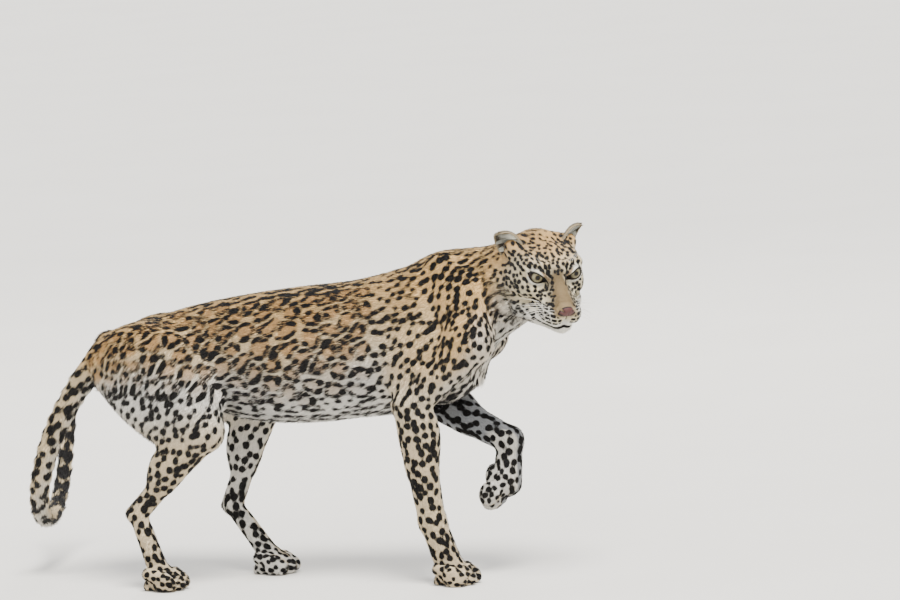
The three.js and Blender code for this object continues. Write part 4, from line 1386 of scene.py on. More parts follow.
def set_value(obj: bpy.types.Object, name: str, values: Array) -> None:
    """Keeps one number a vertex on a mesh."""
    attribute = obj.data.attributes.new(name, "FLOAT", "POINT")
    attribute.data.foreach_set("value", np.asarray(values, np.float32))


def set_colour(obj: bpy.types.Object, name: str, colours: Array) -> None:
    """Keeps one linear colour a vertex on a mesh."""
    attribute = obj.data.color_attributes.new(name, "FLOAT_COLOR", "POINT")
    full = np.ones((len(colours), 4), np.float32)
    full[:, :3] = colours
    attribute.data.foreach_set("color", full.ravel())


def triangles_of(mesh: bpy.types.Mesh) -> Array:
    """A mesh's triangles as rows of vertex numbers; its faces are triangles already."""
    faces = np.zeros(len(mesh.polygons) * 3, np.int32)
    mesh.polygons.foreach_get("vertices", faces)
    return faces.reshape(-1, 3)


def normals_of(points: Array, faces: Array) -> Array:
    """Outward direction at each vertex: the sum of its faces' cross products."""
    a, b, c = points[faces[:, 0]], points[faces[:, 1]], points[faces[:, 2]]
    n = np.cross(b - a, c - a)
    total = np.zeros_like(points)
    for i in range(3):
        for k in range(3):
            total[:, i] += np.bincount(faces[:, k], n[:, i], len(points))
    return unit(total)


@dataclass
class Skin:
    """One closed skin over the whole body, drawn onto the field inside the coat."""

    anatomy: Anatomy
    face: Face
    frame: Frame
    cell: float = 5.3
    growth: float = 0.003
    flesh: tuple = (
        "torso", "neck", "head", "nose", "shoulder_right", "forearm_right", "forepaw_right",
        "shoulder_left", "forearm_left", "forepaw_left", "thigh_right", "shank_right",
        "hindpaw_right", "thigh_left", "shank_left", "hindpaw_left", "tail_base",
        "tail_middle", "tail_tip",
    )
    obj: bpy.types.Object | None = None

    def base(self, nodes: dict[str, bpy.types.Object]) -> bmesh.types.BMesh:
        """Joins copies of the flesh solids, grown a little, and wraps them in one even mesh.

        Args:
            nodes: the frame's nodes.

        Returns:
            The wrapped mesh.
        """
        bm = bmesh.new()
        for name in (*self.flesh, "eye_right", "eye_left"):
            part = bmesh.new()
            part.from_mesh(nodes[name].data)
            bmesh.ops.remove_doubles(part, verts=part.verts, dist=1e-6)
            part.normal_update()
            for v in part.verts:
                v.co += v.normal * self.growth
            copy = bpy.data.meshes.new("copy")
            part.to_mesh(copy)
            part.free()
            bm.from_mesh(copy)
            bpy.data.meshes.remove(copy)
        mesh = bpy.data.meshes.new("wrap")
        bm.to_mesh(mesh)
        bm.free()
        obj = bpy.data.objects.new("wrap", mesh)
        bpy.context.scene.collection.objects.link(obj)
        remesh = obj.modifiers.new("even", "REMESH")
        remesh.mode = "VOXEL"
        remesh.voxel_size = self.cell * MM
        graph = bpy.context.evaluated_depsgraph_get()
        even = bpy.data.meshes.new_from_object(obj.evaluated_get(graph))
        bpy.data.objects.remove(obj)
        made = bmesh.new()
        made.from_mesh(even)
        return made

    def coordinates(self, bm: bmesh.types.BMesh) -> Array:
        """The vertices in the animal's millimetres."""
        mesh = bpy.data.meshes.new("read")
        bm.to_mesh(mesh)
        co = np.zeros(len(mesh.vertices) * 3, np.float32)
        mesh.vertices.foreach_get("co", co)
        bpy.data.meshes.remove(mesh)
        return self.frame.back(co.reshape(-1, 3).astype(float))

    def refine(self, bm: bmesh.types.BMesh, chosen: Array) -> None:
        """Halves every edge whose two ends are chosen."""
        bm.edges.ensure_lookup_table()
        flags = chosen.tolist()
        edges = [e for e in bm.edges if flags[e.verts[0].index] and flags[e.verts[1].index]]
        bmesh.ops.subdivide_edges(bm, edges=edges, cuts=1, use_grid_fill=True)
        bm.verts.index_update()

    def build(self, nodes: dict[str, bpy.types.Object]) -> None:
        """Wraps, refines, draws onto the field, carves the face and keeps what the coat needs."""
        bm = self.base(nodes)
        p = self.coordinates(bm)
        near_head = np.linalg.norm(p - on_head(-20, 0, -25), axis=1) < 92
        feet = (p[:, 2] < 62) & (p[:, 0] > -460)
        raised = np.linalg.norm(p - np.array([228, 42, 150]), axis=1) < 62
        self.refine(bm, near_head | feet | raised)
        p = self.coordinates(bm)
        fine = np.linalg.norm(p - on_head(46, 0, -50), axis=1) < 38
        for _, s in SIDES:
            fine |= np.linalg.norm(p - (eye_centre(s) + 12 * HEAD_FORWARD), axis=1) < 25
        self.refine(bm, fine)
        bmesh.ops.triangulate(bm, faces=bm.faces)
        mesh = bpy.data.meshes.new("skin")
        bm.to_mesh(mesh)
        bm.free()
        co = np.zeros(len(mesh.vertices) * 3, np.float32)
        mesh.vertices.foreach_get("co", co)
        p = self.frame.back(co.reshape(-1, 3).astype(float))
        faces = triangles_of(mesh)
        self.links = self.neighbours(faces, len(p))
        depth = self.anatomy.coat(p)["depth"]
        for _ in range(2):
            p = self.anatomy.draw(p, depth, 2)
            p = self.relax(p, 2)
        p = self.anatomy.draw(p, depth, 2)
        low = p[:, 2] < 1.2
        p[low, 2] = 1.2
        self.smooth_points = p.copy()
        self.smooth_normals = normals_of(p, faces)
        p = self.face.carve(p, self.smooth_normals)
        self.points, self.faces = p, faces
        self.normals = normals_of(p, faces)
        self.coat = self.anatomy.coat(self.smooth_points)
        bpy.data.meshes.remove(mesh)
        self.obj = make_mesh("skin", self.frame.out(p), faces)
        LOG.info("skin: %d vertices, %d triangles", len(p), len(faces))

    @staticmethod
    def neighbours(faces: Array, count: int) -> tuple[Array, Array, Array]:
        """Each edge's two ends both ways, and how many edges meet at each vertex."""
        a = np.concatenate([faces[:, 0], faces[:, 1], faces[:, 2], faces[:, 1], faces[:, 2], faces[:, 0]])
        b = np.concatenate([faces[:, 1], faces[:, 2], faces[:, 0], faces[:, 0], faces[:, 1], faces[:, 2]])
        return a, b, np.bincount(a, minlength=count)

    def relax(self, points: Array, rounds: int) -> Array:
        """Moves each vertex half way to the middle of its neighbours."""
        a, b, meets = self.links
        p = points.copy()
        for _ in range(rounds):
            middle = np.stack([np.bincount(a, p[b, i], len(p)) for i in range(3)], axis=1)
            p += 0.5 * (middle / np.maximum(meets, 1)[:, None] - p)
        return p

    def unwrap(self) -> None:
        """Lays the skin out flat as the map named OFBake, and keeps each corner's place."""
        mesh = self.obj.data
        mesh.uv_layers.new(name="OFBake")
        bpy.ops.object.select_all(action="DESELECT")
        self.obj.select_set(True)
        bpy.context.view_layer.objects.active = self.obj
        bpy.ops.object.mode_set(mode="EDIT")
        bpy.ops.mesh.select_all(action="SELECT")
        bpy.ops.uv.smart_project(angle_limit=math.radians(72), island_margin=0.002)
        bpy.ops.object.mode_set(mode="OBJECT")
        uv = np.zeros(len(mesh.loops) * 2, np.float32)
        mesh.uv_layers["OFBake"].data.foreach_get("uv", uv)
        self.corner_uv = uv.reshape(-1, 3, 2)

    def dress(self, markings: Markings, finish: bpy.types.Material) -> None:
        """Paints the skin with the coat's colours and marks, darkened as painted shade under the coat."""
        ground = markings.ground(self.smooth_points, self.smooth_normals, self.coat)
        # The ground is darkened by a fifth: painted shade under the coat.
        set_colour(self.obj, "ground", ground * 0.8)
        set_value(self.obj, "mark", markings.ink(self.smooth_points))
        self.obj.data.materials.append(finish)
        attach(self.obj, "root")
        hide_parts(*self.flesh)


@dataclass
class Coat:
    """Tufts over the skin, each a thin closed spike that lies along the body."""

    skin: Skin
    markings: Markings
    frame: Frame
    count: int = 330_000
    layers: int = 8
    seed: int = 19

    def roots(self) -> dict[str, Array]:
        """Draws the tufts' roots over the skin, closer where the hair is shorter.

        Returns:
            Places, directions, coat values and unwrapped places, one row a tuft.
        """
        rng = np.random.default_rng(self.seed)
        skin, faces = self.skin, self.skin.faces
        p = skin.points
        a, b, c = (p[faces[:, k]] for k in range(3))
        area = np.linalg.norm(np.cross(b - a, c - a), axis=1) / 2
        length = skin.coat["length"][faces].mean(1)
        weight = area / length**1.35
        weight *= self.bare(p[faces].mean(1))
        share = np.cumsum(weight) / weight.sum()
        count = self.count
        i = np.searchsorted(share, (np.arange(count) + rng.random(count)) / count)
        i = np.minimum(i, len(faces) - 1)
        r1, r2 = np.sqrt(rng.random(count)), rng.random(count)
        w = np.column_stack([1 - r1, r1 * (1 - r2), r1 * r2])

        def spread(values: Array) -> Array:
            """A value of the corners, shared by the root's place in its triangle."""
            v = values[faces[i]]
            return (v * (w if v.ndim == 2 else w[:, :, None])).sum(1)

        return {
            "point": spread(p), "smooth": spread(skin.smooth_points), "normal": unit(spread(skin.normals)),
            "lay": spread(skin.coat["lay"]), "length": spread(skin.coat["length"]),
            "face": i, "uv": (skin.corner_uv[i] * w[:, :, None]).sum(1),
            **{r.name: spread(skin.coat[r.name]) for r in Region},
            "random": rng.random((count, 6)),
        }

    def bare(self, p: Array) -> Array:
        """1 where hair grows, and 0 on the nose pad, in the eye openings and under the feet."""
        q = in_head(p)
        grows = np.ones(len(p))
        grows[(q[:, 0] > 44) & ((q[:, 1] / 15) ** 2 + ((q[:, 2] + 36) / 9.6) ** 2 < 1)] = 0
        grows[line_distance(p, self.skin.face.mouth_line) < 1.6] = 0
        for _, s in SIDES:
            flat = self.skin.face.lids[s].flat(p)
            edge = self.skin.face.lids[s].edge(flat)
            inside = (flat[:, 2] > 0) & (edge < 1.0) & (np.linalg.norm(flat, axis=1) < 34)
            grows[inside] = 0
        grows[p[:, 2] < 4] = 0
        return grows

    def shape(self, r: dict[str, Array]) -> dict[str, Array]:
        """Length, width and rise of each tuft.

        Args:
            r: the roots.

        Returns:
            "length" and "width" in mm, "rise" as an angle, and "way" along the skin.
        """
        n, chance = r["normal"], r["random"]
        p = r["point"]
        q = in_head(p)
        up = self.markings.height_share(p)
        length = r["length"] * (0.75 + 0.5 * chance[:, 0])
        length *= 1 + 0.8 * r["TRUNK"] * ease(0.16, 0.0, up) * ease(140, 90, p[:, 0])
        cheek = r["HEAD"] * ease(-28, -50, q[:, 0]) * ease(-30, -48, q[:, 2])
        jaw = r["HEAD"] * ease(-66, -80, q[:, 2])
        length *= 1 + 1.7 * cheek + 0.9 * jaw
        bridge = r["HEAD"] * ease(-10, 20, q[:, 0])
        length *= 1 - 0.4 * bridge
        stray = (chance[:, 1] - 0.5) * 0.5
        lay = r["lay"] - (r["lay"] * n).sum(1)[:, None] * n
        lay = unit(lay + 1e-4)
        side = np.cross(n, lay)
        way = lay * np.cos(stray)[:, None] + side * np.sin(stray)[:, None]
        rise = 0.16 + 0.16 * chance[:, 2] + 0.12 * cheek + 0.1 * jaw
        width = 0.55 + 0.075 * length * (0.8 + 0.4 * chance[:, 3])
        return {"length": length, "width": width, "rise": rise, "way": way}

    def spikes(self, r: dict[str, Array], s: dict[str, Array]) -> tuple[Array, Array]:
        """Closed spikes of four triangles: a flat three-sided base and one tip.

        Args:
            r: the roots.
            s: the tufts' shapes.

        Returns:
            Vertices, four a tuft, and triangles.
        """
        p, n, way = r["point"], r["normal"], s["way"]
        side = np.cross(way, n)
        w, length = s["width"][:, None], s["length"][:, None]
        rise = s["rise"][:, None]
        left = p + side * w / 2 - n * 0.5
        right = p - side * w / 2 - n * 0.5
        ridge = p + n * w * 0.45
        tip = p + (way * np.cos(rise) + n * np.sin(rise)) * length
        points = np.stack([left, right, ridge, tip], axis=1).reshape(-1, 3)
        first = 4 * np.arange(len(p))[:, None]
        faces = np.stack([
            first + np.array([0, 1, 2]), first + np.array([1, 0, 3]),
            first + np.array([2, 1, 3]), first + np.array([0, 2, 3]),
        ], axis=1).reshape(-1, 3)
        return points, faces

    def build(self, finish: bpy.types.Material) -> list[bpy.types.Object]:
        """Makes the coat in layers, each spread over the whole body.

        Args:
            finish: the pelt's material.

        Returns:
            The layers.
        """
        r = self.roots()
        s = self.shape(r)
        low, middle, high = (r["smooth"] + s["way"] * s["length"][:, None] * k for k in (0.1, 0.5, 0.8))
        tint = self.markings.ground(middle, r["normal"], {k.name: r[k.name] for k in Region})
        mark = np.column_stack([np.tile(self.markings.ink(low)[:, None], 3), self.markings.ink(high)])
        tint *= (0.86 + 0.28 * r["random"][:, 4])[:, None]
        points, faces = self.spikes(r, s)
        points = self.frame.out(points)
        step = np.array([[-0.0012, -0.0012], [0.0012, -0.0012], [0.0, 0.0], [0.0, 0.0015]])
        uv = (r["uv"][:, None, :] + step[None]).reshape(-1, 2)
        # Painted shade along each tuft: root and base darkened where tufts shade each other, the tip
        # lightened a little.
        painted_shade = np.tile([0.72, 0.72, 0.86, 1.06], len(tint))[:, None]
        colour = np.repeat(tint, 4, axis=0) * painted_shade
        made = []
        for k in range(self.layers):
            pick = np.arange(k, len(tint), self.layers)
            vertices = (4 * pick[:, None] + np.arange(4)).ravel()
            tris = faces[:4 * len(pick)]
            obj = make_mesh(f"coat_{k + 1}", points[vertices], tris)
            set_colour(obj, "ground", colour[vertices])
            set_value(obj, "mark", mark[pick].ravel())
            layer = obj.data.uv_layers.new(name="OFBake")
            layer.data.foreach_set("uv", uv[vertices][tris.ravel()].astype(np.float32).ravel())
            obj.data.materials.append(finish)
            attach(obj, "root")
            made.append(obj)
        LOG.info("coat: %d tufts, %d triangles", len(tint), 4 * len(tint))
        return made


def shell_of(sheet: Array) -> Array:
    """Triangles of a closed grid of rows, each row a ring, with the first and last rows as lids.

    Args:
        sheet: points in rows, of shape (rows, ring, 3).

    Returns:
        Triangles over the points in reading order.
    """
    rows, ring = sheet.shape[:2]
    i, j = np.meshgrid(np.arange(rows - 1), np.arange(ring), indexing="ij")
    k = (j + 1) % ring
    a, b, c, d = i * ring + j, i * ring + k, (i + 1) * ring + k, (i + 1) * ring + j
    sides = np.concatenate([np.stack([a, b, c], -1), np.stack([a, c, d], -1)]).reshape(-1, 3)
    turn = np.arange(1, ring - 1)
    start = np.stack([np.zeros_like(turn), turn + 1, turn], -1)
    last = (rows - 1) * ring
    end = np.stack([np.full_like(turn, last), last + turn, last + turn + 1], -1)
    return np.concatenate([sides, start, end])


@dataclass
class Eye:
    """An eyeball with its iris, turned to look ahead."""

    s: int
    rings: int = 40
    around: int = 56
    bulge: float = 0.9

    def look(self) -> Array:
        """The way the eye looks."""
        return head_way(1, self.s * 0.16, 0.12)

    def build(self, name: str, node: str, frame: Frame, finish: bpy.types.Material) -> None:
        """A ball of rings round the look, a little bulged over the iris.

        Args:
            name: the piece's name.
            node: the solid that it stands for.
            frame: carries points into the frame.
            finish: the eye's material.
        """
        look = self.look()
        x = unit(np.cross(look, HEAD_UP))
        y = np.cross(look, x)
        angle = np.linspace(0.002, math.pi - 0.002, self.rings)[:, None]
        turn = np.linspace(0, 2 * math.pi, self.around, endpoint=False)[None]
        radius = EYE_RADIUS - 0.3 + self.bulge * np.exp(-((angle / 0.6) ** 2)) + 0 * turn
        out = (
            np.cos(angle)[..., None] * look + (np.sin(angle) * np.cos(turn))[..., None] * x
            + (np.sin(angle) * np.sin(turn))[..., None] * y
        )
        sheet = eye_centre(self.s) + out * radius[..., None]
        faces = shell_of(sheet)
        obj = make_mesh(name, frame.out(sheet.reshape(-1, 3)), outward(sheet.reshape(-1, 3), faces))
        aside = np.clip(np.sin(np.minimum(angle, math.pi / 2)), 0, 1)
        set_value(obj, "off_gaze", np.repeat(aside, self.around))
        rng = np.random.default_rng(5)
        streak = rng.random(self.around)
        set_value(obj, "streak", np.tile(streak, self.rings))
        obj.data.materials.append(finish)
        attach(obj, "root")
        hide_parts(node)


def outward(points: Array, faces: Array) -> Array:
    """The faces, turned over if they enclose a negative volume."""
    a, b, c = (points[faces[:, k]] - points.mean(0) for k in range(3))
    volume = (np.cross(a, b) * c).sum()
    return faces if volume > 0 else faces[:, ::-1]


@dataclass
class Ear:
    """A rounded cup of thin skin, open forwards and outwards, with short fur and pale inner hairs."""

    s: int
    height: float = 49
    width: float = 52
    thick: float = 3.2
    rows: int = 22
    cells: int = 30
    long_hairs: int = 700
    clumps: int = 11

    def axes(self) -> tuple[Array, Array, Array]:
        """Rise, width and opening directions in the head's axes."""
        rise = unit([-0.16, self.s * 0.42, 0.9])
        face = unit([0.72, self.s * 0.66, -0.1])
        wide = unit(np.cross(rise, face))
        return rise, wide, unit(np.cross(wide, rise))

    def sheet(self, inset: float, sink: float = 10.0) -> Array:
        """One face of the cup: rows from root to tip, bent round its height.

        Args:
            inset: how far this face lies inside the back of the ear.
            sink: how far the root goes into the head.

        Returns:
            Points of shape (rows, cells, 3) in the animal's millimetres.
        """
        rise, wide, opening = self.axes()
        t = np.linspace(0, 1, self.rows)[:, None]
        v = np.linspace(-1, 1, self.cells)[None]
        half = (self.width / 2) * (0.62 + 0.38 * np.sin(math.pi * np.minimum(t * 1.15, 0.5)))
        half = half * np.sqrt(np.maximum(1 - ((t - 0.35) / 0.66) ** 4, 0.02)) - inset * 0.3
        bend = v * (1.0 - 0.2 * t)
        deep = half * 0.95 * (1 - t * 0.35)
        up = -sink + (self.height + sink - 1.5 - inset * 0.4) * t
        q = (
            np.array([-84, self.s * 49, 7]) + up[..., None] * rise
            + (half * np.sin(bend) * 1.18)[..., None] * wide
            + (-deep * np.cos(bend) * 0.95 + inset + 6)[..., None] * opening
        )
        return EYE_MIDPOINT + q @ HEAD_AXES

    def build(self, side: str, frame: Frame, finish: bpy.types.Material, seed: int = 3) -> None:
        """Makes the cup and its fur.

        Args:
            side: "right" or "left".
            frame: carries points into the frame.
            finish: the pelt's material.
            seed: start of the random draw.
        """
        back, front = self.sheet(1.0), self.sheet(self.thick)
        cup = np.concatenate([back, front[:, ::-1]], axis=1)
        flat = cup.reshape(-1, 3)
        faces = outward(flat, shell_of(cup))
        obj = make_mesh(f"ear_cup_{side}", frame.out(flat), faces)
        t = np.broadcast_to(np.linspace(0, 1, self.rows)[:, None], cup.shape[:2])
        v = np.concatenate([np.linspace(-1, 1, self.cells), np.linspace(1, -1, self.cells)])
        v = np.broadcast_to(v[None], cup.shape[:2])
        is_back = np.zeros(cup.shape[:2], bool)
        is_back[:, :self.cells] = True
        colour = self.colour(t.ravel(), v.ravel(), is_back.ravel())
        set_colour(obj, "ground", colour)
        set_value(obj, "mark", np.full(len(flat), 9.0))
        obj.data.materials.append(finish)
        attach(obj, "root")
        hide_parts(f"ear_{side}")
        self.fur(side, frame, finish, seed)

    def colour(self, t: Array, v: Array, back: Array) -> Array:
        """Black back with a pale spot below the tip; dark inside with a grey-olive rim.

        Args:
            t: height, 0 at the root and 1 at the tip.
            v: place across, -1 to 1.
            back: whether the place is on the ear's back.

        Returns:
            Linear colours.
        """
        black, spot, rim = paint(26, 21, 18), paint(214, 196, 160), paint(152, 138, 112)
        inside, base = paint(62, 56, 48), paint(196, 150, 96)
        rear = blend(black[None], base[None], ease(0.34, 0.12, t))
        rear = blend(rear, spot[None], ease(0.34, 0.2, np.hypot((t - 0.62) * 1.4, v * 0.55)))
        edge = np.maximum(ease(0.72, 0.96, np.abs(v)), ease(0.84, 0.97, t))
        cup = blend(inside[None], rim[None], edge)
        rear = blend(rear, rim[None], edge * 0.7)
        return np.where(back[:, None], rear, cup)

    def fur(self, side: str, frame: Frame, finish: bpy.types.Material, seed: int) -> None:
        """Short tufts on both faces and round the rim, and long pale hairs across the cup."""
        rng = np.random.default_rng(seed + self.s)
        back, front = self.sheet(1.0), self.sheet(self.thick)
        rise, wide, opening = (a @ HEAD_AXES for a in self.axes())
        roots, ways, colours, sizes, ups, places = [], [], [], [], [], []
        for surface, is_back, count in ((back, True, 5200), (front, False, 2600)):
            t, v = rng.random(count) ** 0.85, rng.uniform(-1, 1, count)
            p, n, along = self.on(surface, t, v, is_back)
            roots.append(p)
            ups.append(n)
            ways.append(unit(along + 0.25 * rng.normal(size=(count, 3))))
            colours.append(self.colour(t, v, np.full(count, is_back)) * rng.uniform(0.8, 1.2, (count, 1)))
            sizes.append(np.full(count, 4.6) * rng.uniform(0.7, 1.3, count))
            places.append(np.column_stack([0.02 + 0.22 * (v + 1) + 0.5 * (not is_back), 0.02 + 0.92 * t]))
        count = self.long_hairs
        clump = rng.integers(0, self.clumps, count)
        edge_v = np.where(clump % 4 < 3, 1.0, -1.0) * self.s * -1
        t = 0.14 + 0.7 * (clump + 0.5) / self.clumps + rng.normal(0, 0.02, count)
        v = edge_v * rng.uniform(0.78, 0.98, count)
        p, n, along = self.on(front, t, v, False)
        inwards = -np.sign(v)[:, None] * wide[None]
        places.append(np.column_stack([0.52 + 0.22 * (v + 1), 0.02 + 0.92 * t]))
        roots.append(p)
        ups.append(n)
        ways.append(unit(inwards + 0.12 * rise + 0.3 * opening + 0.1 * rng.normal(size=(count, 3))))
        tone = rng.uniform(0.35, 1.1, self.clumps)[clump] * rng.uniform(0.8, 1.2, count)
        colours.append(paint(212, 210, 196)[None] * tone[:, None])
        sizes.append(rng.uniform(16, 30, count))
        hairs = Hairs(
            np.vstack(roots), unit(np.vstack(ways)), np.vstack(ups),
            np.concatenate(sizes), np.vstack(places),
        )
        obj = hairs.build(f"ear_fur_{side}", frame, np.vstack(colours), finish, 0.7)

    def on(self, surface: Array, t: Array, v: Array, back: bool) -> tuple[Array, Array, Array]:
        """Places on one face of the cup, with outward directions and the way to the tip.

        Args:
            surface: the face's grid of points.
            t: height from 0 to 1.
            v: place across from -1 to 1.
            back: whether the face is the ear's back.

        Returns:
            Places, outward directions and directions towards the tip.
        """
        i = np.clip(t * (self.rows - 1), 0, self.rows - 1.001)
        j = np.clip((v + 1) / 2 * (self.cells - 1), 0, self.cells - 1.001)
        i0, j0 = i.astype(int), j.astype(int)
        fi, fj = (i - i0)[:, None], (j - j0)[:, None]
        p00, p01 = surface[i0, j0], surface[i0, j0 + 1]
        p10, p11 = surface[i0 + 1, j0], surface[i0 + 1, j0 + 1]
        p = p00 * (1 - fi) * (1 - fj) + p01 * (1 - fi) * fj + p10 * fi * (1 - fj) + p11 * fi * fj
        along, across = unit(p10 - p00), unit(p01 - p00)
        n = unit(np.cross(along, across))
        opening = self.axes()[2] @ HEAD_AXES
        flip = np.sign((n @ opening)) * (-1 if back else 1)
        return p, n * flip[:, None], along


@dataclass
class Hairs:
    """Many single closed spikes from given roots, each with a direction and a length."""

    roots: Array
    ways: Array
    normals: Array
    lengths: Array
    places: Array

    def build(self, name: str, frame: Frame, colours: Array, finish: bpy.types.Material,
              width: float, rise: float = 0.22) -> bpy.types.Object:
        """Makes the spikes as one piece.

        Args:
            name: the piece's name.
            frame: carries points into the frame.
            colours: one linear colour a hair.
            finish: the material.
            width: width at the root in mm.
            rise: angle above the skin.

        Returns:
            The piece.
        """
        n = self.normals
        way = unit(self.ways - (self.ways * n).sum(1)[:, None] * n * 0.7)
        side = unit(np.cross(way, n))
        length = self.lengths[:, None]
        left = self.roots + side * width / 2 - n * 0.3
        right = self.roots - side * width / 2 - n * 0.3
        ridge = self.roots + n * width * 0.45
        tip = self.roots + (way * math.cos(rise) + n * math.sin(rise)) * length
        points = np.stack([left, right, ridge, tip], axis=1).reshape(-1, 3)
        first = 4 * np.arange(len(self.roots))[:, None, None]
        faces = (first + np.array([[0, 1, 2], [1, 0, 3], [2, 1, 3], [0, 2, 3]])[None]).reshape(-1, 3)
        obj = make_mesh(name, frame.out(points), faces)
        set_colour(obj, "ground", np.repeat(colours, 4, axis=0))
        set_value(obj, "mark", np.full(len(points), 9.0))
        step = np.array([[0, 0], [1, 0], [0.5, 0.5], [0.5, 1]]) * 0.003
        flat = (self.places[:, None, :] + step[None]).reshape(-1, 2)
        layer = obj.data.uv_layers.new(name="OFBake")
        layer.data.foreach_set("uv", flat[faces.ravel()].astype(np.float32).ravel())
        obj.data.materials.append(finish)
        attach(obj, "root")
        return obj


@dataclass
class NosePad:
    """The bare pad of the nose: a broad top narrowing to the lip, with a nostril each side."""

    frame: Frame
    anatomy: Anatomy
    centre: tuple = (0.0, -36.0)
    half_width: float = 22.0
    half_height: float = 12.5
    rings: int = 22
    around: int = 64

    def outline(self, angle: Array) -> tuple[Array, Array]:
        """Half-width and height of the edge at each angle, wide above and narrow below."""
        low = ease(0, -1, np.sin(angle))
        x = self.half_width * np.cos(angle) * (1 - 0.42 * low)
        y = self.half_height * np.sin(angle) * (1 + 0.12 * low)
        return x, y

    def build(self, finish: bpy.types.Material) -> None:
        """Draws a disc of rings onto the field and closes it behind.

        Args:
            finish: the pad's material.
        """
        share = np.linspace(0.02, 1, self.rings)[:, None]
        angle = np.linspace(0, 2 * math.pi, self.around, endpoint=False)[None]
        x, y = self.outline(angle)
        l, u = share * x, self.centre[1] + share * y
        start = EYE_MIDPOINT + np.stack([np.full_like(l, 62.0), l, u], -1).reshape(-1, 3) @ HEAD_AXES
        p = self.anatomy.draw(start, np.full(len(start), 0.2), 6)
        n = self.slope(p)
        q = in_head(p)
        hole = np.zeros(len(p))
        for s in (-1, 1):
            d = (q[:, 1:] - np.array([s * 10.2, -35.5])) @ np.array([[0.86, -0.5 * s], [0.5 * s, 0.86]])
            hole = np.maximum(hole, np.exp(-((d[:, 0] / 3.8) ** 2 + (d[:, 1] / 1.9) ** 2) ** 1.5))
        split = np.exp(-((q[:, 1] / 0.9) ** 2)) * ease(-34, -40, q[:, 2])
        rim = np.broadcast_to(share, l.shape).ravel()
        p = p - n * (3.4 * hole + 0.9 * split + 1.3 * ease(0.86, 1.0, rim))[:, None]
        behind = p - HEAD_FORWARD * 4.0
        grid = (self.rings, self.around, 3)
        sheet = np.concatenate([p.reshape(grid), behind.reshape(grid)[::-1]])
        flat = sheet.reshape(-1, 3)
        obj = make_mesh("nose_pad", self.frame.out(flat), outward(flat, shell_of(sheet)))
        set_value(obj, "rim", np.concatenate([rim, np.ones_like(rim)]))
        # The nostril mask carries painted shade: the material darkens the nostrils nearly to black.
        set_value(obj, "pit", np.concatenate([np.clip(hole * 1.3, 0, 1), np.ones_like(hole)]))
        obj.data.materials.append(finish)
        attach(obj, "root")

    def slope(self, p: Array) -> Array:
        """Outward direction of the field."""
        d = self.anatomy.distance(p)
        return unit(np.stack([self.anatomy.distance(p + 0.4 * e) - d for e in np.eye(3)], axis=1))


@dataclass
class Whiskers:
    """Long pale hairs in three rows on each whisker pad, and a few over each eye."""

    frame: Frame
    anatomy: Anatomy
    face: Face
    radius: float = 0.4
    seed: int = 11

    def lines(self) -> list[tuple[Array, Array, Array, float]]:
        """Root, direction, droop and length of every whisker."""
        rng = np.random.default_rng(self.seed)
        made = []
        for i, root in enumerate(self.face.dots):
            row, k = i // 6 % 4, i % 6
            s = SIDES[i // 24][1]
            if k == 0 or row == 3:
                continue
            way = head_way(-0.25 - 0.12 * k, s * 0.9, 0.1 - 0.28 * row + rng.uniform(-0.1, 0.1))
            made.append((root, way, -HEAD_UP * 0.7, rng.uniform(34, 52)))
        for _, s in SIDES:
            for k in range(3):
                root = on_head(-8 - 5 * k, s * (24 + 5 * k), 19 - 2 * k)
                root = self.anatomy.draw(root[None], np.array([3.5]), 5)[0]
                made.append((root, head_way(-0.1, s * 0.45, 0.9), HEAD_LEFT * s * 0.6, rng.uniform(18, 28)))
        return made

    def build(self, finish: bpy.types.Material) -> None:
        """Makes each whisker a thin tapered tube on a bent line, joined as one piece.

        Args:
            finish: the hairs' material.
        """
        steps, sides = 9, 5
        t = np.linspace(0, 1, steps)
        points, faces = [], []
        for root, way, droop, length in self.lines():
            line = root + way * (t * length)[:, None] + droop * (t**2 * length * 0.35)[:, None]
            side = unit(np.cross(way, HEAD_UP + 0.3 * HEAD_FORWARD))
            other = np.cross(way, side)
            turn = np.linspace(0, 2 * math.pi, sides, endpoint=False)
            ring = np.cos(turn)[:, None] * side + np.sin(turn)[:, None] * other
            thick = self.radius * (1 - 0.85 * t)
            tube = line[:, None, :] + ring[None] * thick[:, None, None]
            flat = tube.reshape(-1, 3)
            faces.append(outward(flat, shell_of(tube)) + sum(len(p) for p in points))
            points.append(flat)
        obj = make_mesh("whiskers", self.frame.out(np.vstack(points)), np.vstack(faces))
        obj.data.materials.append(finish)
        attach(obj, "root")


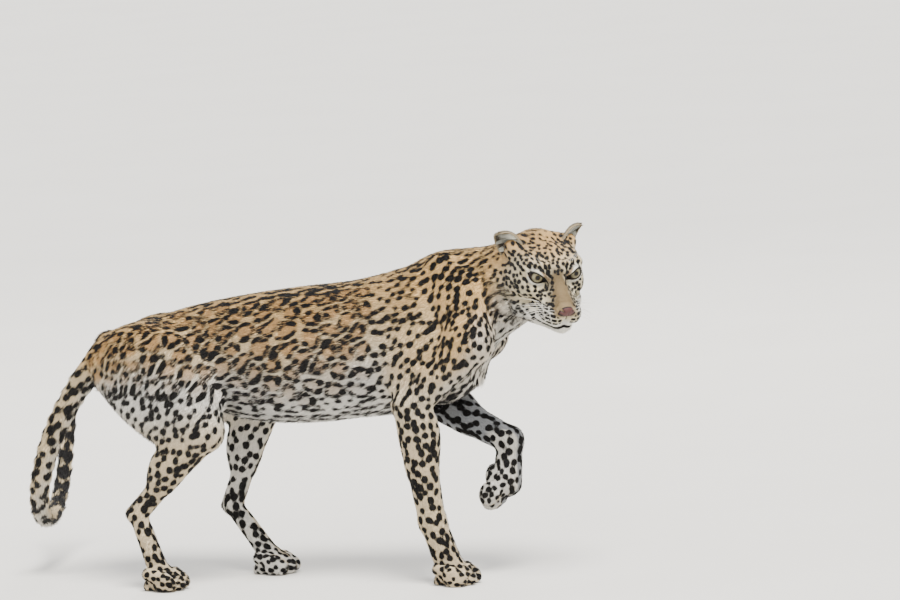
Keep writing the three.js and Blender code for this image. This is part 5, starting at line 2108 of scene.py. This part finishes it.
@dataclass
class Studio:
    """Camera, lights and floor."""

    frame: Frame
    turn: float = math.radians(20)
    tilt: float = math.radians(7)
    roll: float = math.radians(4)
    scale: float = 1.68
    distance: float = 12000.0
    width: int = 900
    height: int = 600
    anchor: tuple = (190.0, 0.0, 560.0)
    anchor_pixel: tuple = (460.0, 250.0)

    def axes(self) -> tuple[Array, Array, Array]:
        """The camera's right, up and back directions."""
        r = np.array([math.cos(self.turn), math.sin(self.turn), 0.0])
        u = np.array([
            -math.sin(self.turn) * math.sin(self.tilt), math.cos(self.turn) * math.sin(self.tilt),
            math.cos(self.tilt),
        ])
        back = np.cross(r, u)
        c, s = math.cos(self.roll), math.sin(self.roll)
        return r * c - u * s, r * s + u * c, back

    def camera(self) -> None:
        """Sets the camera so that the anchor falls on its pixel at the photograph's scale."""
        right, up, back = self.axes()
        dx = (self.width / 2 - self.anchor_pixel[0]) * self.scale
        dy = (self.anchor_pixel[1] - self.height / 2) * self.scale
        target = np.array(self.anchor) + right * dx + up * dy
        place = self.frame.out(target + back * self.distance)
        data = bpy.data.cameras.new("camera")
        data.sensor_width = 36
        data.lens = 36 * self.distance / (self.width * self.scale)
        data.clip_end = 200
        cam = bpy.data.objects.new("camera", data)
        bpy.context.scene.collection.objects.link(cam)
        m = Matrix.Identity(4)
        for i, axis in enumerate((right, up, back)):
            for k in range(3):
                m[k][i] = axis[k]
        for k in range(3):
            m[k][3] = place[k]
        cam.matrix_world = m
        bpy.context.scene.camera = cam

    def light(self, name: str, place: Sequence[float], size: float, power: float,
              colour: Sequence[float] = (1, 1, 1)) -> None:
        """A soft square light, aimed at the animal's middle."""
        data = bpy.data.lights.new(name, "AREA")
        data.shape = "SQUARE"
        data.size, data.energy, data.color = size, power, colour
        obj = bpy.data.objects.new(name, data)
        bpy.context.scene.collection.objects.link(obj)
        obj.location = place
        aim = Vector((0.05, 0, 0.38)) - Vector(place)
        obj.rotation_mode = "QUATERNION"
        obj.rotation_quaternion = aim.to_track_quat("-Z", "Y")

    def build(self) -> None:
        """Sets the floor, the lights, the room's light and the camera."""
        x = np.linspace(-30, 30, 5)
        gx, gy = np.meshgrid(x, x)
        points = np.stack([gx, gy, 0 * gx], -1).reshape(-1, 3)
        i, j = np.meshgrid(np.arange(4), np.arange(4), indexing="ij")
        a = (i * 5 + j).ravel()
        floor = make_mesh("floor", points, np.stack([a, a + 1, a + 6, a + 5], -1))
        floor.data.materials.append(FloorFinish().material("floor"))
        sun = bpy.data.lights.new("sky_light", "SUN")
        sun.angle, sun.energy, sun.color = 0.4, 6.0, (1.0, 0.985, 0.95)
        high = bpy.data.objects.new("sky_light", sun)
        bpy.context.scene.collection.objects.link(high)
        high.rotation_mode = "QUATERNION"
        high.rotation_quaternion = Vector((-0.42, 0.62, -1.3)).to_track_quat("-Z", "Y")
        self.light("key", (1.8, -2.8, 2.6), 1.6, 70, (1.0, 0.97, 0.93))
        self.light("rim", (-0.8, 3.0, 2.6), 1.8, 50, (1.0, 0.98, 0.95))
        world = bpy.data.worlds.new("room")
        world.use_nodes = True
        sky = world.node_tree.nodes["Background"]
        sky.inputs["Color"].default_value = (0.86, 0.88, 0.92, 1)
        sky.inputs["Strength"].default_value = 1.3
        bpy.context.scene.world = world
        self.camera()


def corners(box: tuple[Vector, Vector]) -> list[list[float]]:
    """A box as plain lists of numbers."""
    return [[float(x) for x in corner] for corner in box]


def main() -> None:
    """Builds the animal round the frame."""
    logging.basicConfig(level=logging.INFO, format="%(relativeCreated)d %(message)s")
    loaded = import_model()
    frame = Frame()
    frame.find()
    anatomy = Anatomy()
    face = Face(anatomy)
    skin = Skin(anatomy, face, frame)
    skin.build(loaded["nodes"])
    skin.unwrap()
    LOG.info("unwrapped")
    markings = Markings(anatomy, face)
    spread = np.random.default_rng(2).permutation(len(skin.points))[:40000]
    markings.lay_out(skin.smooth_points[spread], skin.smooth_normals[spread],
                     {k: v[spread] for k, v in skin.coat.items()})
    pelt = PeltFinish().material("pelt")
    skin.dress(markings, PeltFinish(bump=0.4).material("skin_pelt"))
    LOG.info("skin dressed")
    Coat(skin, markings, frame).build(pelt)
    eye = EyeFinish().material("eye")
    for side, s in SIDES:
        Eye(s).build(f"eyeball_{side}", f"eye_{side}", frame, eye)
        Ear(s).build(side, frame, pelt)
    NosePad(frame, anatomy).build(NoseFinish().material("nose"))
    Whiskers(frame, anatomy, face).build(HairFinish().material("whisker"))
    Studio(frame).build()
    LOG.info("done")


if __name__ == "__main__":
    main()
